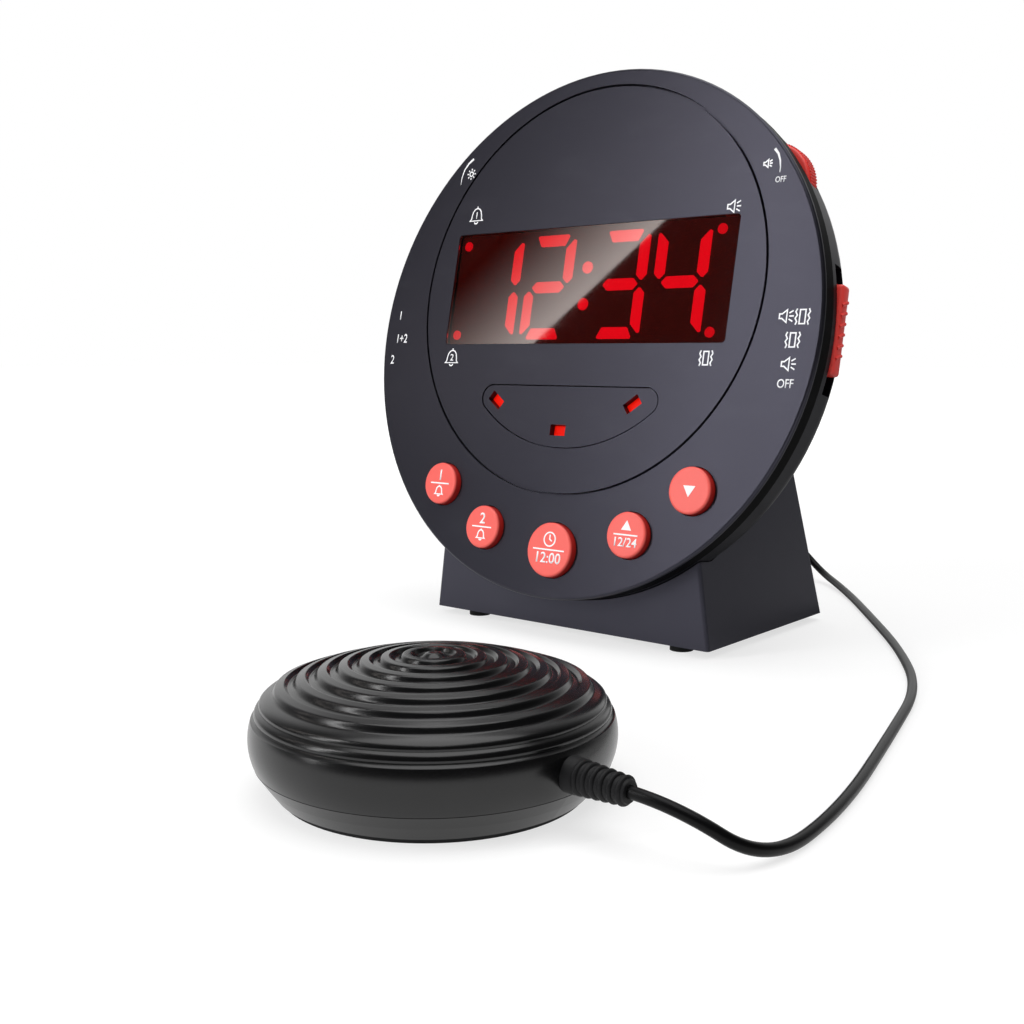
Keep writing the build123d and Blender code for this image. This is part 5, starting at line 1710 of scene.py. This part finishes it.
@dataclass
class Screws:
    """The screws that show at the back and underneath, with crossed heads."""

    sides: int = 32
    head_radius: float = 2.7
    head_flat: float = 0.82
    shoulder: Point = (0.95, 0.16)
    side_start: float = 0.4
    shank_radius: float = 1.25
    slot_length: float = 1.7
    slot_half_width: float = 0.38
    slot_depth: float = 0.9
    slot_taper: float = 0.8
    back_ring: float = 66.0
    back_angles_deg: tuple[float, ...] = (22.0, -22.0, 158.0, 202.0)
    back_level: float = 13.6
    back_head: float = 2.0
    back_shank: float = 9.8
    base_places: tuple[Point, ...] = ((-40.0, -9.231), (-40.0, 15.57), (40.0, -9.231), (40.0, 15.57))
    base_level: float = 2.3
    base_head: float = 1.0
    base_shank: float = 10.1

    def build(self, palette: Palette, rules: Rules) -> None:
        """Builds both groups of screws.

        Args:
            palette: The finishes.
            rules: The geometry node trees.
        """
        steel = palette["screw_steel"]
        turns = [radians(angle) for angle in self.back_angles_deg]
        ring = self.back_ring
        spots = [(ring * cos(turn), ring * sin(turn), -self.back_level) for turn in turns]
        shape = self._screw(self.back_head, self.back_shank)
        mesh = self._group("back_screws", spots, shape, steel, rules)
        add_piece("back_screws", mesh, FACE.matrix(), steel, Body.CLOCK, ["housing_screws"])
        spots = [(x, y, self.base_level) for x, y in self.base_places]
        shape = self._screw(self.base_head, self.base_shank)
        mesh = self._group("underside_screws", spots, shape, steel, rules)
        row = Matrix.Identity(4)
        add_piece("underside_screws", mesh, row, steel, Body.CLOCK, ["base_screws"])

    @staticmethod
    def _group(name: str, spots: Sequence[Point3], shape: Mesh, steel: Material, rules: Rules) -> Mesh:
        """Sets one screw, head down, on each spot.

        Args:
            name: The mesh's name.
            spots: Where the top of each head is.
            shape: The screw, looking up, which is freed afterwards.
            steel: Its finish.
            rules: The geometry node trees.

        Returns:
            The mesh in millimetres.
        """
        screw = put("screw", shape)
        points = bpy.data.meshes.new(name)
        points.from_pydata(list(spots), [], [])
        mesh = rules.fasteners.bake(name, points, Screw=screw, Turn=(pi, 0.0, 0.0), Finish=steel)
        bpy.data.objects.remove(screw)
        bpy.data.meshes.remove(shape)
        return mesh

    def _screw(self, head: float, shank: float) -> Mesh:
        """Makes one screw with the top of its head at the origin, looking up.

        Args:
            head: The height of the head.
            shank: The length below the head.

        Returns:
            The mesh in millimetres.
        """
        a, b = self.slot_half_width, self.slot_length
        cross = [
            (a, a), (a, b), (-a, b), (-a, a), (-b, a), (-b, -a),
            (-a, -a), (-a, -b), (a, -b), (a, -a), (b, -a), (b, a),
        ]
        radius = self.head_radius
        work = bmesh.new()

        def loop(points: Sequence[Point], height: float) -> list[bmesh.types.BMVert]:
            """Adds a closed loop of points with its edges.

            Args:
                points: The points.
                height: Their height.

            Returns:
                The new points.
            """
            made = [work.verts.new((x, y, height)) for x, y in points]
            for first, second in zip(made, made[1:] + made[:1]):
                work.edges.new((first, second))
            return made

        def wall(first: list[bmesh.types.BMVert], second: list[bmesh.types.BMVert]) -> None:
            """Adds a band of faces between two loops.

            Args:
                first: One loop.
                second: The other one, with as many points.
            """
            count = len(first)
            for index in range(count):
                after = (index + 1) % count
                work.faces.new((first[index], first[after], second[after], second[index]))

        mouth = loop(cross, 0.0)
        top = loop(circle(radius * self.head_flat, self.sides), 0.0)
        bmesh.ops.triangle_fill(work, edges=work.edges[:], use_beauty=True)
        floor = loop([(x * self.slot_taper, y * self.slot_taper) for x, y in cross], -self.slot_depth)
        wall(mouth, floor)
        work.faces.new(floor)
        levels = [
            loop(circle(radius * self.shoulder[0], self.sides), -head * self.shoulder[1]),
            loop(circle(radius, self.sides), -head * self.side_start),
            loop(circle(radius, self.sides), -head),
            loop(circle(self.shank_radius, self.sides), -head),
            loop(circle(self.shank_radius, self.sides), -head - shank),
        ]
        for first, second in zip([top] + levels, levels):
            wall(first, second)
        work.faces.new(levels[-1])
        return tidy_mesh(close_mesh("screw", work))


@dataclass
class Underside:
    """The finger ribs on the battery door."""

    ribs: int = 7
    pitch: float = 1.6
    rib_radius: float = 0.35
    rib_length: float = 22.0
    rear_y: float = 25.6
    level: float = 2.25

    def build(self, palette: Palette, rules: Rules) -> None:
        """Builds the ribs along the door's rear edge.

        Args:
            palette: The finishes.
            rules: The geometry node trees.
        """
        black = palette["inner_black"]
        mesh = rules.rib_row.bake(
            "door_ribs", None, Ribs=self.ribs, Pitch=-self.pitch, Start=(0.0, self.rear_y, self.level),
            Rib_Radius=self.rib_radius, Length=self.rib_length, Turn=(0.0, pi / 2, 0.0), Finish=black,
        )
        add_piece("door_ribs", mesh, Matrix.Identity(4), black, Body.DOOR)


@dataclass
class SocketPrint:
    """The signs above the sockets in the rear wall."""

    wall_y: float = 32.115
    height: float = 33.5
    tilt_deg: float = 11.3
    shaker_x: float = 0.0
    inlet_x: float = -24.0
    above: float = 9.4
    line: float = 0.38
    shake_size: float = 4.4
    rule_half: float = 2.2
    rule_rise: float = 0.6
    dash_starts: tuple[float, ...] = (-2.2, -0.5, 1.2)
    dash_length: float = 1.0

    def build(self, palette: Palette) -> None:
        """Draws the signs above both sockets.

        Args:
            palette: The finishes.
        """
        ink = Ink(line=self.line)
        ink.sign(Pictogram.SHAKE, (-self.shaker_x, self.above), self.shake_size)
        left = -self.inlet_x
        upper = self.above + self.rule_rise
        lower = self.above - self.rule_rise
        ink.stroke([(left - self.rule_half, upper), (left + self.rule_half, upper)])
        for start in self.dash_starts:
            ink.stroke([(left + start, lower), (left + start + self.dash_length, lower)])
        tilt = radians(self.tilt_deg)
        out = Vector((0.0, cos(tilt), sin(tilt)))
        across = Vector((-1.0, 0.0, 0.0))
        place = Matrix.Translation(Vector((0.0, self.wall_y, self.height)) * MM)
        frame = place @ turn_to(across, out.cross(across), out)
        mesh = ink.mesh("socket_print")
        add_piece("socket_print", mesh, frame, palette["print_white"], Body.CLOCK)


@dataclass
class BedShaker:
    """The puck with its ridged crown, the sleeve where the cord leaves it, and the cord to the clock."""

    centre: Point = (57.5, -140.8)
    turn_deg: float = -4.0
    sides: int = 160
    seam: Point = (33.0, 6.0)
    waist: Point = (34.0, 10.5)
    shoulder: Point = (31.5, 17.6)
    flank_runs: int = 28
    steps: tuple[Point, ...] = (
        (33.2, 14.2),
        (32.85, 14.5),
        (32.7, 14.65),
        (32.75, 14.85),
        (32.85, 15.05),
        (32.8, 15.4),
        (32.6, 15.85),
        (32.3, 16.2),
        (32.0, 16.35),
        (31.85, 16.5),
        (31.9, 16.7),
        (31.9, 16.95),
        (31.75, 17.3),
        (31.4, 17.65),
        (31.0, 17.95),
        (30.5, 18.2),
    )
    crown_radius: float = 30.0
    crown_top: float = 24.2
    crown_drop: float = 5.8
    crown_merge: float = 0.004
    ridge_count: int = 7
    ridge_height: float = 0.95
    ridge_rows: int = 18
    nub_radius: float = 3.0
    nub_height: float = 1.6
    dimple_radius: float = 1.7
    dimple_depth: float = 0.7
    sleeve_height: float = 10.0
    sleeve_start: float = 34.2
    sleeve_end: float = 46.2
    sleeve_root: float = 5.0
    sleeve_sides: int = 40
    collar_radius: float = 3.2
    collar_end: float = 1.2
    neck: Point = (2.75, 1.8)
    tip: Point = (2.1, 0.4)
    mouth_radius: float = 1.9
    rings: int = 6
    ring_radius: float = 2.55
    ring_bead: float = 0.62
    ring_taper: float = 0.035
    ring_first: float = 2.2
    ring_last: float = 1.0
    cord_radius: float = 1.15
    cord_length: float = 0.345
    cord_order: int = 3
    cord_runs: int = 14
    cord_roundness: int = 5
    route: tuple[Point3, ...] = (
        (103.588, -144.023, 10.0),
        (112.566, -144.651, 10.0),
        (124.5, -137.0, 1.25),
        (123.0, -107.5, 1.25),
        (112.5, -62.5, 1.25),
        (102.5, -22.5, 1.25),
        (84.0, 11.5, 1.25),
        (61.0, 45.5, 1.25),
        (38.0, 78.5, 1.25),
        (16.0, 100.5, 4.0),
        (3.0, 88.5, 26.0),
        (0.0, 70.163, 41.103),
        (0.0, 58.396, 38.752),
    )

    def frame(self) -> Matrix:
        """Gives the puck's own frame on the table."""
        shift = Matrix.Translation(Vector((*self.centre, 0.0)) * MM)
        return shift @ Matrix.Rotation(radians(self.turn_deg), 4, "Z")

    def build(self, palette: Palette, rules: Rules) -> None:
        """Builds the upper shell, the sleeve and the cord.

        Args:
            palette: The finishes.
            rules: The geometry node trees.
        """
        self._upper_shell(palette["shaker_black"], rules)
        self._sleeve(palette["foot_rubber"], rules)
        self._cord(palette["cord_black"])

    def _upper_shell(self, black: Material, rules: Rules) -> None:
        """Builds the ridged crown by its rule, on top of a turned wall.

        Args:
            black: Its finish.
            rules: The geometry node trees.
        """
        flank = arc_through(self.seam, self.waist, self.shoulder, self.flank_runs)
        flank = [point for point in flank if point[1] < self.steps[0][1]]
        edge = (self.crown_radius, self.crown_top - self.crown_drop)
        wall = [(0.0, self.seam[1]), *flank, *self.steps, edge]
        mesh = rules.ridged_crown.bake(
            "puck_crown",
            lathe("puck_wall", wall, self.sides),
            self.crown_merge,
            Radius=self.crown_radius,
            Pitch=(self.crown_radius - self.nub_radius) / self.ridge_count,
            Rows=self.ridge_rows * (self.ridge_count + 1) + 1,
            Sides=self.sides + 1,
            Dome_Drop=self.crown_drop,
            Dome_Top=self.crown_top,
            Ridge_Height=self.ridge_height,
            Nub_Radius=self.nub_radius,
            Nub_Height=self.nub_height,
            Dimple_Radius=self.dimple_radius,
            Dimple_Depth=self.dimple_depth,
            Finish=black,
        )
        add_piece("puck_crown", mesh, self.frame(), black, Body.CLOCK, ["shaker_top"])

    def _sleeve(self, rubber: Material, rules: Rules) -> None:
        """Builds the ribbed sleeve that keeps the cord from kinking.

        Args:
            rubber: Its finish.
            rules: The geometry node trees.
        """
        start, end = self.sleeve_start, self.sleeve_end
        core = [
            (0.0, start - self.sleeve_root),
            (self.collar_radius, start - self.sleeve_root),
            (self.collar_radius, start + self.collar_end),
            (self.neck[0], start + self.neck[1]),
            (self.tip[0], end - self.tip[1]),
            (self.mouth_radius, end),
            (0.0, end),
        ]
        mesh = rules.ring_stack.bake(
            "cord_sleeve",
            lathe("sleeve_core", core, self.sleeve_sides),
            Rings=self.rings,
            Pitch=(end - start - (self.ring_first + self.ring_last)) / (self.rings - 1),
            Start=start + self.ring_first,
            Ring_Radius=self.ring_radius,
            Bead_Radius=self.ring_bead,
            Taper=self.ring_taper,
            Finish=rubber,
        )
        rise = Matrix.Translation((0.0, 0.0, self.sleeve_height * MM))
        frame = self.frame() @ rise @ Matrix.Rotation(pi / 2, 4, "Y")
        add_piece("cord_sleeve", mesh, frame, rubber, Body.CLOCK, ["strain_relief"])

    def _cord(self, black: Material) -> None:
        """Lays the cord along its route as one smooth curve.

        Args:
            black: Its finish.
        """
        curve = bpy.data.curves.new("puck_cord", "CURVE")
        curve.dimensions = "3D"
        curve.bevel_depth = self.cord_radius * MM
        curve.bevel_resolution = self.cord_roundness
        curve.use_fill_caps = True
        curve.resolution_u = self.cord_runs
        spline = curve.splines.new("NURBS")
        points = [Vector(point) * MM for point in self.route]
        spline.points.add(len(points) - 1)
        for target, point in zip(spline.points, points):
            target.co = (*point, 1.0)
        spline.order_u = self.cord_order
        spline.use_endpoint_u = True
        curve.materials.append(black)
        cord = put("puck_cord", curve)
        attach(cord, Body.CLOCK.value)
        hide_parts("shaker_cord")
        log.info("puck_cord: %d control points", len(points))


# The studio


@dataclass(frozen=True)
class Softbox:
    """A rectangular studio lamp, placed in metres."""

    name: str
    place: Point3
    target: Point3
    size: Point
    power: float
    mirrored: bool = True

    def build(self) -> None:
        """Hangs the lamp, which no ray through the window sees."""
        lamp = bpy.data.lights.new(self.name, "AREA")
        lamp.shape = "RECTANGLE"
        lamp.size, lamp.size_y = self.size
        lamp.energy = self.power
        holder = put(self.name, lamp)
        holder.location = self.place
        aim = Vector(self.target) - Vector(self.place)
        holder.rotation_euler = aim.to_track_quat("-Z", "Y").to_euler()
        holder.visible_glossy = self.mirrored
        holder.visible_transmission = False


@dataclass(frozen=True)
class GlareCard:
    """A bright card off to the left that no camera, diffuse, transmission or shadow ray sees, so it shows
    only in reflections, where it makes the slanted glare in the window.
    """

    foot: Point3 = (-326.7, -376.9, 245.4)
    head: Point3 = (-244.9, -376.1, 331.9)
    beside: Point3 = (-382.2, -333.4, 310.0)
    overrun: float = 110.0
    fade: float = 72.0
    fade_power: float = 2.0
    strength: float = 4.1
    tint: Point3 = (1.0, 0.93, 0.88)

    def build(self) -> None:
        """Hangs the card with its sharp edge from foot to head."""
        foot, head, beside = (Vector(point) for point in (self.foot, self.head, self.beside))
        along = (head - foot).normalized()
        across = (beside - foot) - along * (beside - foot).dot(along)
        across.normalize()
        frame = turn_to(along, across, along.cross(across))
        frame.translation = foot * MM
        low = -self.overrun * MM
        high = ((head - foot).length + self.overrun) * MM
        wide = self.fade * MM
        mesh = sheet("glare_card", (low, 0.0), (high, wide))
        mesh.materials.append(self._glow(wide))
        card = put("glare_card", mesh)
        card.matrix_world = frame
        card.visible_camera = False
        card.visible_diffuse = False
        card.visible_transmission = False
        card.visible_shadow = False

    def _glow(self, wide: float) -> Material:
        """Makes a white glow that fades from the sharp edge.

        Args:
            wide: Where it has faded away, in metres.

        Returns:
            The material.
        """
        material = bpy.data.materials.new("card_white")
        wiring = bare_wiring(material)
        split = wiring.node("ShaderNodeSeparateXYZ", Vector=wiring.coordinates())
        share = wiring.spread(split.outputs["Y"], (0.0, wide), 1.0, 0.0)
        strength = wiring.math("MULTIPLY", wiring.math("POWER", share, self.fade_power), self.strength)
        glow = wiring.node("ShaderNodeEmission", Color=(*self.tint, 1.0), Strength=strength)
        wiring.node("ShaderNodeOutputMaterial", Surface=glow.outputs[0])
        return material


@dataclass
class Studio:
    """The white floor, the soft light and the camera."""

    camera_place: Point3 = (211.42, -303.05, 79.75)
    camera_heading_deg: float = 39.796
    camera_pitch_deg: float = 7.309
    camera_lens: float = 43.594
    camera_sensor: float = 36.0
    camera_nearest: float = 0.01
    ambient: float = 0.4
    backdrop_axis: Point3 = (-0.633, 0.76, 0.148)
    backdrop_span: Span = (-0.1, 0.8)
    backdrop_power: float = 4.0
    backdrop_least: float = 0.02
    floor_size: float = 12.0
    floor_grey: float = 0.36
    floor_near: float = 0.68
    floor_fade: Span = (0.2, 0.8)
    mirrored_fade: Span = (-0.1, 0.02)
    mirrored_behind: float = 0.06
    lamps: tuple[Softbox, ...] = (
        Softbox("strip_lamp", (-0.455, -0.912, 0.522), (0.0, -0.02, 0.085), (0.08, 0.8), 3.05),
        Softbox("top_lamp", (0.05, -0.1, 1.3), (0.05, -0.05, 0.0), (1.2, 1.2), 11.0),
        Softbox("fill_lamp", (-0.5, -1.1, 0.3), (0.0, -0.02, 0.05), (0.6, 0.56), 5.0, mirrored=False),
    )
    card: GlareCard = GlareCard()

    def build(self) -> None:
        """Builds the stage and the camera."""
        scene = bpy.context.scene
        scene.view_settings.view_transform = "Standard"
        scene.world = self._world()
        self._floor()
        for lamp in self.lamps:
            lamp.build()
        self.card.build()
        scene.camera = self._camera()

    @staticmethod
    def _rays(wiring: Wiring) -> tuple[Socket, Socket]:
        """Tells apart the rays that reach the background.

        Args:
            wiring: The material's or the world's wiring.

        Returns:
            One for rays that see it straight or through glass, and one for mirrored rays.
        """
        path = wiring.add("ShaderNodeLightPath").outputs
        straight = wiring.math("MAXIMUM", path["Is Camera Ray"], path["Is Transmission Ray"])
        return straight, path["Is Glossy Ray"]

    def _world(self) -> bpy.types.World:
        """Makes a white surrounding with a soft even light, mirrored most on the backdrop's side.

        Returns:
            The world.
        """
        world = bpy.data.worlds.new("white_surround")
        wiring = bare_wiring(world)
        straight, mirrored = self._rays(wiring)
        toward = wiring.along(wiring.coordinates(), self.backdrop_axis)
        side = wiring.math("POWER", wiring.spread(toward, self.backdrop_span, 0.0, 1.0), self.backdrop_power)
        room = wiring.spread(side, (0.0, 1.0), self.backdrop_least, 1.0)
        soft = wiring.math("MULTIPLY", wiring.math("SUBTRACT", 1.0, mirrored), self.ambient)
        strength = wiring.math("ADD", wiring.math("MULTIPLY", room, mirrored), soft)
        backdrop = wiring.node(
            "ShaderNodeBackground", Color=(1.0, 1.0, 1.0, 1.0),
            Strength=wiring.math("MAXIMUM", strength, straight),
        )
        wiring.node("ShaderNodeOutputWorld", Surface=backdrop.outputs[0])
        return world

    def _floor(self) -> None:
        """Lays a white floor that keeps the soft shadows near the object."""
        half = self.floor_size / 2
        mesh = sheet("studio_floor", (-half, -half), (half, half))
        material = bpy.data.materials.new("studio_white")
        wiring = bare_wiring(material)
        place = wiring.coordinates()
        away = wiring.add("ShaderNodeVectorMath", operation="LENGTH")
        wiring.feed(away.inputs[0], place)
        lift = wiring.spread(away.outputs["Value"], self.floor_fade, self.floor_near, 1.0)
        split = wiring.node("ShaderNodeSeparateXYZ", Vector=place)
        behind = wiring.spread(split.outputs["Y"], self.mirrored_fade, 1.0, self.mirrored_behind)
        straight, mirrored = self._rays(wiring)
        seen = wiring.math("MAXIMUM", straight, wiring.math("MULTIPLY", mirrored, behind))
        glow = wiring.node("ShaderNodeEmission", Strength=wiring.math("MULTIPLY", lift, seen))
        grey = self.floor_grey
        matte = wiring.node("ShaderNodeBsdfDiffuse", Color=(grey, grey, grey, 1.0))
        both = wiring.add("ShaderNodeAddShader")
        wiring.feed(both.inputs[0], glow.outputs[0])
        wiring.feed(both.inputs[1], matte.outputs[0])
        wiring.node("ShaderNodeOutputMaterial", Surface=both.outputs[0])
        mesh.materials.append(material)
        floor = put("studio_floor", mesh)

    def _camera(self) -> bpy.types.Object:
        """Sets the camera at the photograph's viewing angle.

        Returns:
            The camera.
        """
        data = bpy.data.cameras.new("view")
        data.sensor_width = self.camera_sensor
        data.lens = self.camera_lens
        data.clip_start = self.camera_nearest
        camera = put("view", data)
        camera.location = Vector(self.camera_place) * MM
        pitch = radians(90.0 - self.camera_pitch_deg)
        camera.rotation_euler = (pitch, 0.0, radians(self.camera_heading_deg))
        return camera


def clear_scene() -> None:
    """Removes what Blender starts with."""
    for item in list(bpy.data.objects):
        bpy.data.objects.remove(item)


def main() -> None:
    logging.basicConfig(level=logging.INFO, format="%(name)s: %(message)s")
    clear_scene()
    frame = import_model()
    palette = Palette()
    rules = Rules()
    Casing().dress(frame["nodes"], palette)
    FacePrint().build(palette)
    ButtonPrint().build(palette)
    AlertLamps().build(palette)
    FlankControls().build(palette, rules)
    Screws().build(palette, rules)
    Underside().build(palette, rules)
    SocketPrint().build(palette)
    BedShaker().build(palette, rules)
    Studio().build()


if __name__ == "__main__":
    main()
